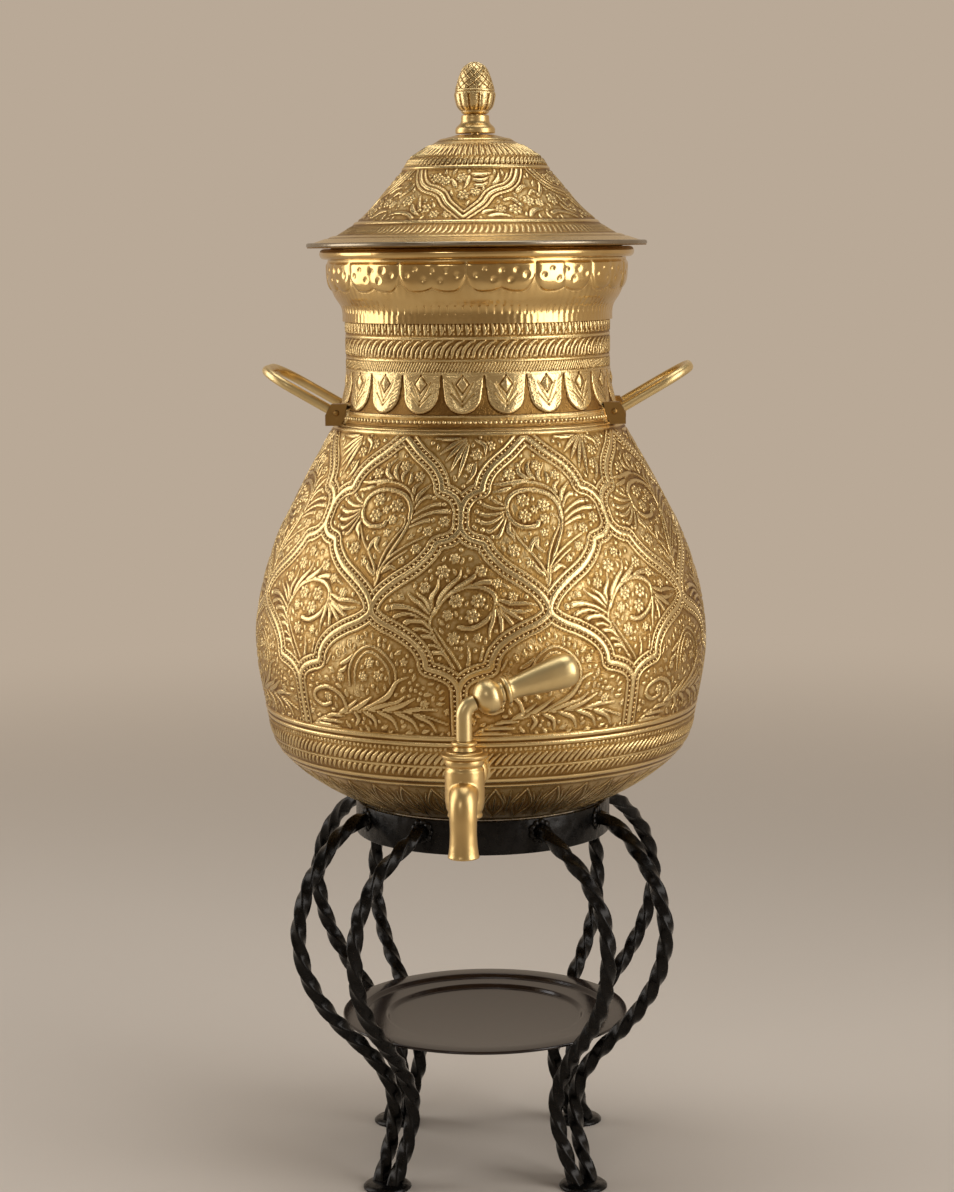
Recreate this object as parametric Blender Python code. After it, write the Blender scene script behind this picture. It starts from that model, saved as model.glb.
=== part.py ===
"""Brass beverage dispenser on a wrought-iron stand.

Metres, +Z up.  The floor is z = 0, the tap points along -Y, and the origin lies on the floor
under the middle of the whole dispenser, so the urn's own axis stands a little behind it.
"""
import math

import bmesh
import bpy
from mathutils import Vector

# Fits and stock
FIT_GAP = 0.0003
CUT_OVERRUN = 0.003
MERGE_DISTANCE = 0.00001
SHEET = 0.0015

# Facets round a turned piece
URN_FACETS = 36
KNOB_FACETS = 20
SMALL_FACETS = 16

# Stand: ring, twisted legs, pads and lower tray
RING_INNER_RADIUS = 0.0825
RING_THICKNESS = 0.0035
RING_HEIGHT = 0.0225
RING_TOP_Z = 0.2537
LEG_JOINT_DROP = 0.0082
LEG_BULGE_RADIUS = 0.1447
LEG_BULGE_Z = 0.174
LEG_WAIST_RADIUS = 0.0772
LEG_WAIST_Z = 0.053
FOOT_RADIUS = 0.0925
BAR_SIDE = 0.008
TWIST_PITCH = 0.072
TWIST_STEPS_PER_TURN = 10
LEG_SPREAD_DEGREES = 18.5
STAND_TURN_DEGREES = 2.4
FOOT_AZIMUTHS_DEGREES = {"front_right": -45, "front_left": -135, "back_right": 45, "back_left": 135}
PAD_RADIUS = 0.016
PAD_EDGE = 0.0018
PAD_THICKNESS = 0.0036
TRAY_RIM_Z = 0.1012
TRAY_SHEET = 0.002
TRAY_FLOOR_RADIUS = 0.065
TRAY_STEP_DEPTH = 0.0025
# Where the tray's rim and ledge start and end, as shares of the way from its floor's edge to its rim
TRAY_RIM_EDGE_SHARE = 0.60
TRAY_LEDGE_EDGE_SHARE = 0.53
TRAY_LEDGE_END_SHARE = 0.07

# The leg's line, as shares of the way between ring, bulge, waist and foot: radius, height
LEG_UPPER_SHARES = ((0.0, 1.0), (0.12, 0.98), (0.38, 0.87), (0.66, 0.67), (0.87, 0.44), (0.98, 0.18))
LEG_LOWER_SHARES = ((1.0, 1.0), (0.955, 0.84), (0.85, 0.70), (0.70, 0.57), (0.52, 0.455), (0.34, 0.35),
                    (0.175, 0.24), (0.05, 0.12))
LEG_FOOT_SHARES = ((0.0, 1.0), (0.13, 0.67), (0.52, 0.33), (1.0, 0.0))
# The half angle of a pair of legs, from the ring down to the foot: share of the height, share
SPREAD_HEIGHT_SHARES = (1.0, 0.91, 0.81, 0.70, 0.41, 0.33, 0.215, 0.0)
SPREAD_ANGLE_SHARES = (1.0, 0.71, 0.61, 0.59, 0.48, 0.40, 0.37, 0.215)

# Urn: bowl, neck, collar and mouth
BELLY_RADIUS = 0.1514
BOWL_HEIGHT = 0.2602
NECK_RADIUS = 0.0893
NECK_HEIGHT = 0.071
NECK_LAP = 0.006
COLLAR_RADIUS = 0.0998
COLLAR_HEIGHT = 0.0367
COLLAR_LAP = 0.0035
BEAD_RADIUS = 0.0035
BEAD_CENTRE_RADIUS = 0.1005
# Outlines from the bottom up: share of the radius or flare, share of the height
BOWL_SHARES = ((0.385, 0.0), (0.5416, 0.0269), (0.753, 0.0922), (0.9155, 0.1807), (0.9676, 0.301),
               (1.0, 0.437), (0.9775, 0.5661), (0.9089, 0.698), (0.819, 0.807), (0.72, 0.9132),
               (0.6357, 1.0))
NECK_FLARE_SHARES = ((0.93, 0.02), (0.69, 0.06), (0.29, 0.25), (0.0, 0.45), (0.0, 1.0))
COLLAR_FLARE_SHARES = ((0.0, 0.04), (0.108, 0.163), (0.56, 0.34), (0.903, 0.572), (1.0, 0.79), (1.0, 1.0))

# Handles
LUG_SPACING = 0.068
LUG_WIDTH = 0.009
LUG_FOOT_DROP = 0.0107
LUG_INSET = 0.013
LUG_CHAMFER_REACH = 0.0042
LOOP_STANDOFF = 0.0036
LOOP_ROOT_RISE = 0.011
LOOP_LENGTH = 0.0495
LOOP_BAR_RADIUS = 0.0032
LOOP_CORNER_RADIUS = 0.022
LOOP_RISE_DEGREES = 30

# Tap: casting, wall fitting, plug and lever
TAP_STANDOFF = 0.0376
TAP_RISE = 0.0522
BARREL_RADIUS = 0.0122
BARREL_ABOVE = 0.0167
BARREL_BELOW = 0.0205
PLUG_BORE_RADIUS = 0.007
WATERWAY_RADIUS = 0.0042
SHANK_RADIUS = 0.0085
FLANGE_RADIUS = 0.012
FLANGE_THICKNESS = 0.0025
SADDLE_LEAST = 0.0012
BACK_WASHER_THICKNESS = 0.0015
BACKNUT_RADIUS = 0.0135
BACKNUT_THICKNESS = 0.006
SHANK_TAIL = 0.003
SPOUT_FORWARD = 0.0172
SPOUT_RADIUS = 0.0089
SPOUT_LIP_RADIUS = 0.0096
SPOUT_DROP = 0.0412
SPOUT_SHOULDER_RISE = 0.005
SPOUT_BORE_RADIUS = 0.0052
SPOUT_LIP_BORE_RADIUS = 0.0068
SPOUT_FLARE_LENGTH = 0.016
PLUG_TAIL_RADIUS = 0.0028
PLUG_WASHER_RADIUS = 0.0078
PLUG_WASHER_THICKNESS = 0.0015
PLUG_NUT_RADIUS = 0.0062
PLUG_NUT_THICKNESS = 0.0048
PLUG_SPIGOT_RADIUS = 0.0032
CAP_DISC_RADIUS = 0.0145
CAP_DISC_THICKNESS = 0.004
STEM_RING_RADIUS = 0.0079
STEM_RING_HEIGHT = 0.0058
STEM_RADIUS = 0.0049
STEM_STRAIGHT = 0.0148
STEM_BEND_RADIUS = 0.008
STEM_BEND_DEGREES = 70
LEVER_AZIMUTH_DEGREES = 20
BALL_RADIUS = 0.0108
BALL_HALF_LENGTH = 0.0094
BALL_STEM_LENGTH = 0.0014
GRIP_RADIUS = 0.0107
GRIP_LENGTH = 0.049
GRIP_RISE_DEGREES = 15
# Pear grip from the ball to its round end: share of the radius, share of the length
GRIP_SHARES = ((0.60, 0.0), (0.80, 0.012), (0.82, 0.05), (0.64, 0.085), (0.63, 0.17), (0.75, 0.36),
               (0.89, 0.56), (0.98, 0.72), (1.0, 0.82), (0.93, 0.90), (0.74, 0.955), (0.42, 0.987))
# Ring under the lever's stem: share of the ring's radius, share of its height
STEM_RING_SHARES = ((0.84, 0.0), (0.76, 0.45), (1.0, 0.60), (1.0, 0.86), (0.80, 1.0))

# Lid and knob
LID_RADIUS = 0.1125
LID_RIM_LIFT = 0.0027
LID_HEIGHT = 0.071
LID_SKIRT_CLEARANCE = 0.0008
LID_SKIRT_DEPTH = 0.016
LID_FLANGE_REACH = 0.002
LID_SHARES = ((1.0, 0.0), (0.895, 0.055), (0.79, 0.121), (0.645, 0.29), (0.53, 0.497), (0.435, 0.68),
              (0.38, 0.80), (0.225, 0.945), (0.12, 1.0))
KNOB_BASE_RADIUS = 0.0131
KNOB_BASE_HEIGHT = 0.0117
FINIAL_RADIUS = 0.0137
FINIAL_HEIGHT = 0.0344
KNOB_STUD_RADIUS = 0.003
KNOB_STUD_GRIP = 0.0115
KNOB_STUD_TAIL = 0.0095
KNOB_WASHER_RADIUS = 0.009
KNOB_WASHER_THICKNESS = 0.0015
KNOB_NUT_RADIUS = 0.0066
KNOB_NUT_THICKNESS = 0.0048
KNOB_BASE_SHARES = ((1.0, 0.0), (1.0, 0.27), (0.91, 0.42), (0.755, 0.58), (0.70, 0.74), (0.70, 1.0))
FINIAL_SHARES = ((0.58, 0.0), (0.72, 0.075), (0.89, 0.165), (1.0, 0.355), (0.97, 0.44), (0.91, 0.545),
                 (0.745, 0.75), (0.555, 0.895), (0.28, 0.975))


# Curves and outlines

def smooth_curve(points, steps):
    """Points of a Catmull-Rom curve through the given points, steps to each span."""
    points = [Vector(p) for p in points]
    ends = [2 * points[0] - points[1]] + points + [2 * points[-1] - points[-2]]
    curve = []
    for i in range(1, len(ends) - 2):
        a, b, c, d = ends[i - 1:i + 3]
        for k in range(steps):
            t = k / steps
            curve.append(0.5 * (2 * b + (c - a) * t + (2 * a - 5 * b + 4 * c - d) * t * t
                                + (3 * b - a - 3 * c + d) * t * t * t))
    return curve + [points[-1]]


def offset_outline(outline, distance):
    """The outline moved sideways: to the left of its direction by a positive distance."""
    moved = []
    for i, point in enumerate(outline):
        ahead = outline[min(i + 1, len(outline) - 1)]
        behind = outline[max(i - 1, 0)]
        along = (Vector(ahead) - Vector(behind)).normalized()
        moved.append(Vector(point) + distance * Vector((-along.y, along.x)))
        if point[0] == 0:
            moved[-1].x = 0
    return moved


def height_at(outline, radius):
    """Height of an outline where it first passes a radius."""
    for low, high in zip(outline, outline[1:]):
        if min(low[0], high[0]) <= radius <= max(low[0], high[0]) and low[0] != high[0]:
            return low[1] + (high[1] - low[1]) * (radius - low[0]) / (high[0] - low[0])
    return outline[-1][1]


def radius_at(outline, height):
    """Radius of an outline where it first passes a height."""
    for low, high in zip(outline, outline[1:]):
        if min(low[1], high[1]) <= height <= max(low[1], high[1]) and low[1] != high[1]:
            return low[0] + (high[0] - low[0]) * (height - low[1]) / (high[1] - low[1])
    return outline[-1][0]


def shell_outline(outline, wall):
    """A closed wall outline: the outer line up, then its inner offset back down."""
    return list(outline) + list(reversed(offset_outline(outline, wall)))


def stepped(shares, radius, height, base=0):
    """Outline points from shares of a radius and of a height above a base."""
    return [Vector((r * radius, base + h * height)) for r, h in shares]


# Objects

def finish(name, colour, roughness, metallic):
    """A plain material for one finish."""
    material = bpy.data.materials.new(name)
    material.use_nodes = True
    shader = material.node_tree.nodes["Principled BSDF"]
    shader.inputs["Base Color"].default_value = (*colour, 1)
    shader.inputs["Roughness"].default_value = roughness
    shader.inputs["Metallic"].default_value = metallic
    return material


def empty(name, location, parent=None):
    """An empty that carries the pieces which move together."""
    holder = bpy.data.objects.new(name, None)
    holder.location = location
    holder.parent = parent
    bpy.context.scene.collection.objects.link(holder)
    return holder


def place(name, bm, material, parent, location=(0, 0, 0), rotation=(0, 0, 0)):
    """Turn a bmesh into a named, shaded object under its parent."""
    bmesh.ops.recalc_face_normals(bm, faces=bm.faces)
    mesh = bpy.data.meshes.new(name)
    bm.to_mesh(mesh)
    bm.free()
    mesh.shade_smooth()
    mesh.set_sharp_from_angle(angle=math.radians(35))
    if material:
        mesh.materials.append(material)
    piece = bpy.data.objects.new(name, mesh)
    piece.parent = parent
    piece.location = location
    piece.rotation_euler = rotation
    bpy.context.scene.collection.objects.link(piece)
    return piece


def turned(name, outline, facets, material, parent, **where):
    """Spin an outline of (radius, height) about Z; one that leaves the axis is closed to a ring."""
    bm = bmesh.new()
    verts = [bm.verts.new((r, 0, z)) for r, z in outline]
    loop = verts if outline[0][0] == 0 else verts + verts[:1]
    edges = [bm.edges.new(pair) for pair in zip(loop, loop[1:])]
    bmesh.ops.spin(bm, geom=verts + edges, cent=(0, 0, 0), axis=(0, 0, 1), angle=math.tau, steps=facets)
    bmesh.ops.remove_doubles(bm, verts=bm.verts, dist=MERGE_DISTANCE)
    return place(name, bm, material, parent, **where)


def swept(name, rings, material, parent, **where):
    """Skin a row of rings of points and cap both ends."""
    bm = bmesh.new()
    rows = [[bm.verts.new(point) for point in ring] for ring in rings]
    for low, high in zip(rows, rows[1:]):
        for i in range(len(low)):
            j = (i + 1) % len(low)
            bm.faces.new((low[i], low[j], high[j], high[i]))
    bm.faces.new(rows[0])
    bm.faces.new(rows[-1])
    return place(name, bm, material, parent, **where)


def prism(name, outline, thickness, material, parent, **where):
    """Extrude an XZ outline along Y, centred on y = 0."""
    bm = bmesh.new()
    face = bm.faces.new([bm.verts.new((x, -thickness / 2, z)) for x, z in outline])
    grown = bmesh.ops.extrude_face_region(bm, geom=[face])["geom"]
    moved = [v for v in grown if isinstance(v, bmesh.types.BMVert)]
    bmesh.ops.translate(bm, verts=moved, vec=(0, thickness, 0))
    return place(name, bm, material, parent, **where)


def rod(name, radius, low, high, facets, parent, material=None, **where):
    """A plain cylinder on the local Z axis."""
    outline = [(0, low), (radius, low), (radius, high), (0, high)]
    return turned(name, outline, facets, material, parent, **where)


def as_form(piece):
    """Mark an object as a cutter or a building form that isn't part of the model."""
    piece.hide_render = True
    piece.display_type = "WIRE"
    return piece


def combine(piece, operation, form):
    """Cut, join or intersect a piece with a form."""
    step = piece.modifiers.new(operation.lower() + "_" + form.name, "BOOLEAN")
    step.operation = operation
    step.solver = "EXACT"
    step.object = form
    return piece


def hex_nut(name, across, bore, low, high, material, parent, **where):
    """A hexagonal nut on the local Z axis with a round bore."""
    nut = rod(name, across, low, high, 6, parent, material, **where)
    hole = rod(name + "_bore", bore, low - CUT_OVERRUN, high + CUT_OVERRUN, SMALL_FACETS, parent, **where)
    return combine(nut, "DIFFERENCE", as_form(hole))


# Outlines that several pieces share

def bowl_outline():
    """Outside of the bowl, from the axis at its flat bottom up to its lip, seated on the ring."""
    curve = smooth_curve(stepped(BOWL_SHARES, BELLY_RADIUS, BOWL_HEIGHT), 2)
    base = RING_TOP_Z + FIT_GAP - height_at(curve, RING_INNER_RADIUS)
    return [Vector((0, base))] + [point + Vector((0, base)) for point in curve]


BOWL_OUTSIDE = bowl_outline()
BOWL_BASE_Z = BOWL_OUTSIDE[0].y
SEAM_Z = BOWL_BASE_Z + BOWL_HEIGHT
LIP_RADIUS = BOWL_OUTSIDE[-1].x
NECK_TOP_Z = SEAM_Z + NECK_HEIGHT
COLLAR_TOP_Z = NECK_TOP_Z + COLLAR_HEIGHT
BEAD_TOP_Z = COLLAR_TOP_Z + FIT_GAP + 2 * BEAD_RADIUS
TAP_Z = BOWL_BASE_Z + TAP_RISE
TAP_FACE = radius_at(BOWL_OUTSIDE[1:], TAP_Z + FLANGE_RADIUS) + SADDLE_LEAST
TAP_REACH = TAP_FACE + TAP_STANDOFF
NECK_FLARE = [Vector((NECK_RADIUS + r * (LIP_RADIUS - NECK_RADIUS), SEAM_Z + h * NECK_HEIGHT))
              for r, h in NECK_FLARE_SHARES]


def lid_outline():
    """Outside of the lid, from its rim up to the axis at its crown."""
    rim_z = BEAD_TOP_Z + LID_RIM_LIFT
    curve = smooth_curve(stepped(LID_SHARES, LID_RADIUS, LID_HEIGHT, rim_z), 2)
    return curve + [Vector((0, rim_z + LID_HEIGHT))]


def leg_line():
    """Radius and height of a leg's centre line, from the ring down to the pad."""
    ring_reach = RING_INNER_RADIUS + RING_THICKNESS + FIT_GAP
    joint_z = RING_TOP_Z - LEG_JOINT_DROP
    foot_z = PAD_THICKNESS + FIT_GAP
    points = [Vector((ring_reach + r * (LEG_BULGE_RADIUS - ring_reach),
                      LEG_BULGE_Z + h * (joint_z - LEG_BULGE_Z))) for r, h in LEG_UPPER_SHARES]
    points += [Vector((LEG_WAIST_RADIUS + r * (LEG_BULGE_RADIUS - LEG_WAIST_RADIUS),
                       LEG_WAIST_Z + h * (LEG_BULGE_Z - LEG_WAIST_Z))) for r, h in LEG_LOWER_SHARES]
    points += [Vector((LEG_WAIST_RADIUS + r * (FOOT_RADIUS - LEG_WAIST_RADIUS),
                       foot_z + h * (LEG_WAIST_Z - foot_z))) for r, h in LEG_FOOT_SHARES]
    return smooth_curve(points, 8)


def spread_at(height):
    """Half angle of a pair of legs at a height."""
    share = height / (RING_TOP_Z - LEG_JOINT_DROP)
    heights = SPREAD_HEIGHT_SHARES
    for i in range(len(heights) - 1):
        if share >= heights[i + 1]:
            part = min(1, (share - heights[i + 1]) / (heights[i] - heights[i + 1]))
            low, high = SPREAD_ANGLE_SHARES[i + 1], SPREAD_ANGLE_SHARES[i]
            return math.radians(LEG_SPREAD_DEGREES * (low + (high - low) * part))
    return math.radians(LEG_SPREAD_DEGREES * SPREAD_ANGLE_SHARES[-1])


def tray_radius():
    """The widest tray whose lower rim edge clears the legs' inner corners."""
    clear = BAR_SIDE / math.sqrt(2) + FIT_GAP
    reach = []
    for point in leg_line():
        rise = point.y - TRAY_RIM_Z
        if abs(rise) < clear:
            reach.append(point.x - math.sqrt(clear * clear - rise * rise))
    return min(reach)


# Stand

def leg_rings(azimuth, side):
    """Square sections of one twisted leg; side is +1 or -1 within its pair."""
    line = leg_line()
    centres = []
    for point in line:
        angle = azimuth + side * spread_at(point.y)
        centres.append(Vector((point.x * math.cos(angle), point.x * math.sin(angle), point.y)))
    travel = [0]
    for low, high in zip(centres, centres[1:]):
        travel.append(travel[-1] + (high - low).length)
    nearest = min(range(len(line)), key=lambda i: (line[i] - Vector((tray_radius(), TRAY_RIM_Z))).length)
    count = round(travel[-1] / TWIST_PITCH * TWIST_STEPS_PER_TURN)
    half = BAR_SIDE / math.sqrt(2)
    rings = []
    for step in range(count + 1):
        reach = travel[-1] * step / count
        i = min(len(travel) - 2, max(j for j in range(len(travel)) if travel[j] <= reach + MERGE_DISTANCE))
        part = (reach - travel[i]) / (travel[i + 1] - travel[i])
        centre = centres[i].lerp(centres[i + 1], part)
        along = (centres[min(i + 2, len(centres) - 1)] - centres[max(i - 1, 0)]).normalized()
        sideways = Vector((0, 0, 1)).cross(centre).normalized()
        inward = along.cross(sideways).normalized()
        sideways = inward.cross(along)
        turn = math.tau * (reach - travel[nearest]) / TWIST_PITCH
        ring = []
        for k in range(4):
            angle = turn + math.tau * k / 4
            ring.append(centre + half * (math.cos(angle) * inward + math.sin(angle) * sideways))
        if step == 0:
            outward = Vector((centre.x, centre.y, 0)).normalized()
            ring = [p + along * ((centre - p).dot(outward) / along.dot(outward)) for p in ring]
        if step == count:
            ring = [p + along * ((centre.z - p.z) / along.z) for p in ring]
        rings.append(ring)
    return rings


def build_stand(stand, iron, tray_enamel):
    """Ring, four pairs of twisted legs on pads, and the tray caught between them."""
    outer = RING_INNER_RADIUS + RING_THICKNESS
    low = RING_TOP_Z - RING_HEIGHT
    turned("stand_ring", [(RING_INNER_RADIUS, low), (outer, low), (outer, RING_TOP_Z),
                          (RING_INNER_RADIUS, RING_TOP_Z)], URN_FACETS, iron, stand)
    flat = PAD_RADIUS - (PAD_THICKNESS - PAD_EDGE)
    for corner, degrees in FOOT_AZIMUTHS_DEGREES.items():
        azimuth = math.radians(degrees)
        for letter, side in (("a", 1), ("b", -1)):
            swept("leg_rod_" + corner + "_" + letter, leg_rings(azimuth, side), iron, stand)
        where = (FOOT_RADIUS * math.cos(azimuth), FOOT_RADIUS * math.sin(azimuth), 0)
        turned("foot_pad_" + corner, [(0, 0), (PAD_RADIUS, 0), (PAD_RADIUS, PAD_EDGE),
                                      (flat, PAD_THICKNESS), (0, PAD_THICKNESS)],
               KNOB_FACETS, iron, stand, location=where)
    build_tray(stand, tray_enamel)


def build_tray(stand, tray_enamel):
    """A stepped round tray: flat rim, step, ledge, step and flat floor."""
    rim = tray_radius()
    top = TRAY_RIM_Z + TRAY_SHEET
    ledge = top - TRAY_STEP_DEPTH
    floor = ledge - TRAY_STEP_DEPTH
    border = rim - TRAY_FLOOR_RADIUS
    rim_edge = TRAY_FLOOR_RADIUS + TRAY_RIM_EDGE_SHARE * border
    ledge_edge = TRAY_FLOOR_RADIUS + TRAY_LEDGE_EDGE_SHARE * border
    ledge_end = TRAY_FLOOR_RADIUS + TRAY_LEDGE_END_SHARE * border
    upper = [(0, floor), (TRAY_FLOOR_RADIUS, floor), (ledge_end, ledge), (ledge_edge, ledge),
             (rim_edge, top), (rim, top)]
    lower = [(r, z - TRAY_SHEET) for r, z in reversed(upper)]
    turned("lower_tray", upper + lower, URN_FACETS, tray_enamel, stand)


# Urn

def build_urn(urn, brass):
    """Bowl, neck, collar and the wired bead at the mouth."""
    bowl = turned("urn_bowl", shell_outline(BOWL_OUTSIDE, SHEET), URN_FACETS, brass, urn)
    hole = rod("tap_hole", SHANK_RADIUS + FIT_GAP, BELLY_RADIUS / 2, BELLY_RADIUS + CUT_OVERRUN,
               SMALL_FACETS, urn, location=(0, 0, TAP_Z), rotation=(math.pi / 2, 0, 0))
    combine(bowl, "DIFFERENCE", as_form(hole))

    skirt = LIP_RADIUS - SHEET - FIT_GAP
    neck = [Vector((skirt, SEAM_Z - NECK_LAP)), Vector((skirt, SEAM_Z + FIT_GAP)),
            Vector((LIP_RADIUS, SEAM_Z + FIT_GAP))] + NECK_FLARE
    inside = [Vector((skirt - SHEET, SEAM_Z - NECK_LAP)), Vector((skirt - SHEET, NECK_FLARE[0].y))]
    inside += offset_outline(NECK_FLARE, SHEET)[1:]
    turned("urn_neck", neck + inside[::-1], URN_FACETS, brass, urn)

    foot = NECK_RADIUS + FIT_GAP + SHEET
    collar = [Vector((foot, NECK_TOP_Z - COLLAR_LAP))]
    collar += [Vector((foot + r * (COLLAR_RADIUS - foot), NECK_TOP_Z + h * COLLAR_HEIGHT))
               for r, h in COLLAR_FLARE_SHARES]
    turned("urn_collar", shell_outline(collar, SHEET), URN_FACETS, brass, urn)

    centre = BEAD_TOP_Z - BEAD_RADIUS
    round_bead = [(BEAD_CENTRE_RADIUS + BEAD_RADIUS * math.cos(math.tau * k / 8),
                   centre + BEAD_RADIUS * math.sin(math.tau * k / 8)) for k in range(8)]
    turned("mouth_bead", round_bead, URN_FACETS, brass, urn)


def urn_outside_form(name, parent):
    """A solid that follows the urn's outside with the fitting gap added."""
    outline = offset_outline(BOWL_OUTSIDE, -FIT_GAP)
    outline += offset_outline([Vector((LIP_RADIUS, SEAM_Z))] + NECK_FLARE, -FIT_GAP)[1:]
    outline.append(Vector((0, NECK_TOP_Z)))
    return as_form(turned(name, outline, URN_FACETS, None, parent))


def urn_inside_form(name, parent):
    """A solid that fills the bowl with the fitting gap left round it."""
    outline = offset_outline(BOWL_OUTSIDE, SHEET + FIT_GAP)
    outline.append(Vector((0, outline[-1].y)))
    return as_form(turned(name, outline, URN_FACETS, None, parent))


def build_handles(urn, brass):
    """Two fixed loops, each brazed to a pair of lugs on the neck."""
    rise = math.radians(LOOP_RISE_DEGREES)
    along = Vector((math.cos(rise), math.sin(rise)))
    across = Vector((-along.y, along.x))
    root_z = SEAM_Z + LOOP_ROOT_RISE
    root = Vector((radius_at(NECK_FLARE, root_z) + LOOP_STANDOFF, root_z))
    seat = root - along * FIT_GAP
    low = seat - across * LUG_CHAMFER_REACH
    high = seat + across * LUG_CHAMFER_REACH
    inner = root.x - LUG_INSET
    foot_z = root.y - LUG_FOOT_DROP
    lug = [(inner, foot_z), (low.x, foot_z), low, high, (inner, high.y)]
    form = urn_outside_form("urn_outside_for_lugs", urn)
    for side, sign in (("left", -1), ("right", 1)):
        outline = [(sign * x, z) for x, z in lug]
        for end, y in (("front", -LUG_SPACING / 2), ("back", LUG_SPACING / 2)):
            name = "handle_lug_" + side + "_" + end
            piece = prism(name, outline, LUG_WIDTH, brass, urn, location=(0, y, 0))
            combine(piece, "DIFFERENCE", form)
        swept("handle_loop_" + side, loop_rings(root, along, across, sign), brass, urn)


def loop_rings(root, along, across, sign):
    """Round sections of a handle loop: out along one arm, across and back along the other."""
    half = LUG_SPACING / 2
    run = LOOP_LENGTH - LOOP_CORNER_RADIUS
    line = [((0, half), (1, 0))]
    for k in range(5):
        turn = math.pi / 2 * k / 4
        line.append(((run + LOOP_CORNER_RADIUS * math.sin(turn),
                      half - LOOP_CORNER_RADIUS * (1 - math.cos(turn))),
                     (math.cos(turn), -math.sin(turn))))
    line += [((reach, -y), (-out, over)) for (reach, y), (out, over) in reversed(line)]
    normal = Vector((sign * across.x, 0, across.y))
    rings = []
    for (reach, y), (out, over) in line:
        centre = Vector((sign * (root.x + along.x * reach), y, root.y + along.y * reach))
        travel = Vector((sign * along.x * out, over, along.y * out))
        sideways = travel.cross(normal)
        rings.append([centre + LOOP_BAR_RADIUS * (math.cos(math.tau * k / 8) * normal
                                                  + math.sin(math.tau * k / 8) * sideways)
                      for k in range(8)])
    return rings


# Tap

def build_tap_body(urn, brass, rubber):
    """The tap's casting and what clamps it to the bowl; local Z of a cross piece is its reach."""
    lying = {"location": (0, 0, TAP_Z), "rotation": (math.pi / 2, 0, 0)}
    face = TAP_FACE
    back = radius_at(BOWL_OUTSIDE[1:], TAP_Z - FLANGE_RADIUS) - SHEET - SADDLE_LEAST
    washer_end = back - FIT_GAP - BACK_WASHER_THICKNESS
    nut_end = washer_end - FIT_GAP - BACKNUT_THICKNESS
    tail = nut_end - SHANK_TAIL

    barrel = rod("tap_body", BARREL_RADIUS, TAP_Z - BARREL_BELOW, TAP_Z + BARREL_ABOVE, KNOB_FACETS,
                 urn, brass, location=(0, -TAP_REACH, 0))
    flange = face + FIT_GAP
    shank = [(0, tail), (SHANK_RADIUS, tail), (SHANK_RADIUS, flange), (FLANGE_RADIUS, flange),
             (FLANGE_RADIUS, flange + FLANGE_THICKNESS), (SHANK_RADIUS, flange + 2 * FLANGE_THICKNESS),
             (SHANK_RADIUS, TAP_REACH), (0, TAP_REACH)]
    combine(barrel, "UNION", as_form(turned("shank_form", shank, KNOB_FACETS, None, urn, **lying)))

    mouth_y = -TAP_REACH - SPOUT_FORWARD
    lip_z = TAP_Z - SPOUT_DROP
    shoulder = TAP_Z - SPOUT_SHOULDER_RISE
    spout = [(0, lip_z), (SPOUT_LIP_RADIUS, lip_z), (SPOUT_RADIUS, lip_z + SPOUT_FLARE_LENGTH)]
    for k in range(4):
        turn = math.pi / 2 * k / 4
        spout.append((SPOUT_RADIUS * math.cos(turn), shoulder + SPOUT_RADIUS * math.sin(turn)))
    spout.append((0, shoulder + SPOUT_RADIUS))
    combine(barrel, "UNION", as_form(turned("spout_form", spout, KNOB_FACETS, None, urn,
                                            location=(0, mouth_y, 0))))

    bore = rod("plug_bore", PLUG_BORE_RADIUS, TAP_Z - BARREL_BELOW - CUT_OVERRUN,
               TAP_Z + BARREL_ABOVE + CUT_OVERRUN, KNOB_FACETS, urn, location=(0, -TAP_REACH, 0))
    combine(barrel, "DIFFERENCE", as_form(bore))
    way = rod("waterway", WATERWAY_RADIUS, tail - CUT_OVERRUN, -mouth_y, SMALL_FACETS, urn, **lying)
    combine(barrel, "DIFFERENCE", as_form(way))
    outlet = [(0, lip_z - CUT_OVERRUN), (SPOUT_LIP_BORE_RADIUS, lip_z - CUT_OVERRUN),
              (SPOUT_LIP_BORE_RADIUS, lip_z), (SPOUT_BORE_RADIUS, lip_z + SPOUT_FLARE_LENGTH),
              (SPOUT_BORE_RADIUS, TAP_Z), (0, TAP_Z + WATERWAY_RADIUS / 2)]
    outlet_form = turned("spout_bore", outlet, SMALL_FACETS, None, urn, location=(0, mouth_y, 0))
    combine(barrel, "DIFFERENCE", as_form(outlet_form))

    hole = SHANK_RADIUS + FIT_GAP
    deep = back - SHEET
    saddle = turned("tap_saddle", [(hole, deep), (FLANGE_RADIUS, deep), (FLANGE_RADIUS, face),
                                   (hole, face)], KNOB_FACETS, brass, urn, **lying)
    combine(saddle, "DIFFERENCE", urn_outside_form("urn_outside_for_saddle", urn))
    gasket = turned("tap_inner_gasket", [(hole, back), (FLANGE_RADIUS, back), (FLANGE_RADIUS, face),
                                         (hole, face)], KNOB_FACETS, rubber, urn, **lying)
    combine(gasket, "INTERSECT", urn_inside_form("urn_inside_for_gasket", urn))
    turned("tap_back_washer", [(hole, washer_end), (FLANGE_RADIUS, washer_end),
                               (FLANGE_RADIUS, washer_end + BACK_WASHER_THICKNESS),
                               (hole, washer_end + BACK_WASHER_THICKNESS)],
           KNOB_FACETS, brass, urn, **lying)
    hex_nut("tap_backnut", BACKNUT_RADIUS, hole, nut_end, nut_end + BACKNUT_THICKNESS, brass, urn, **lying)


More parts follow.
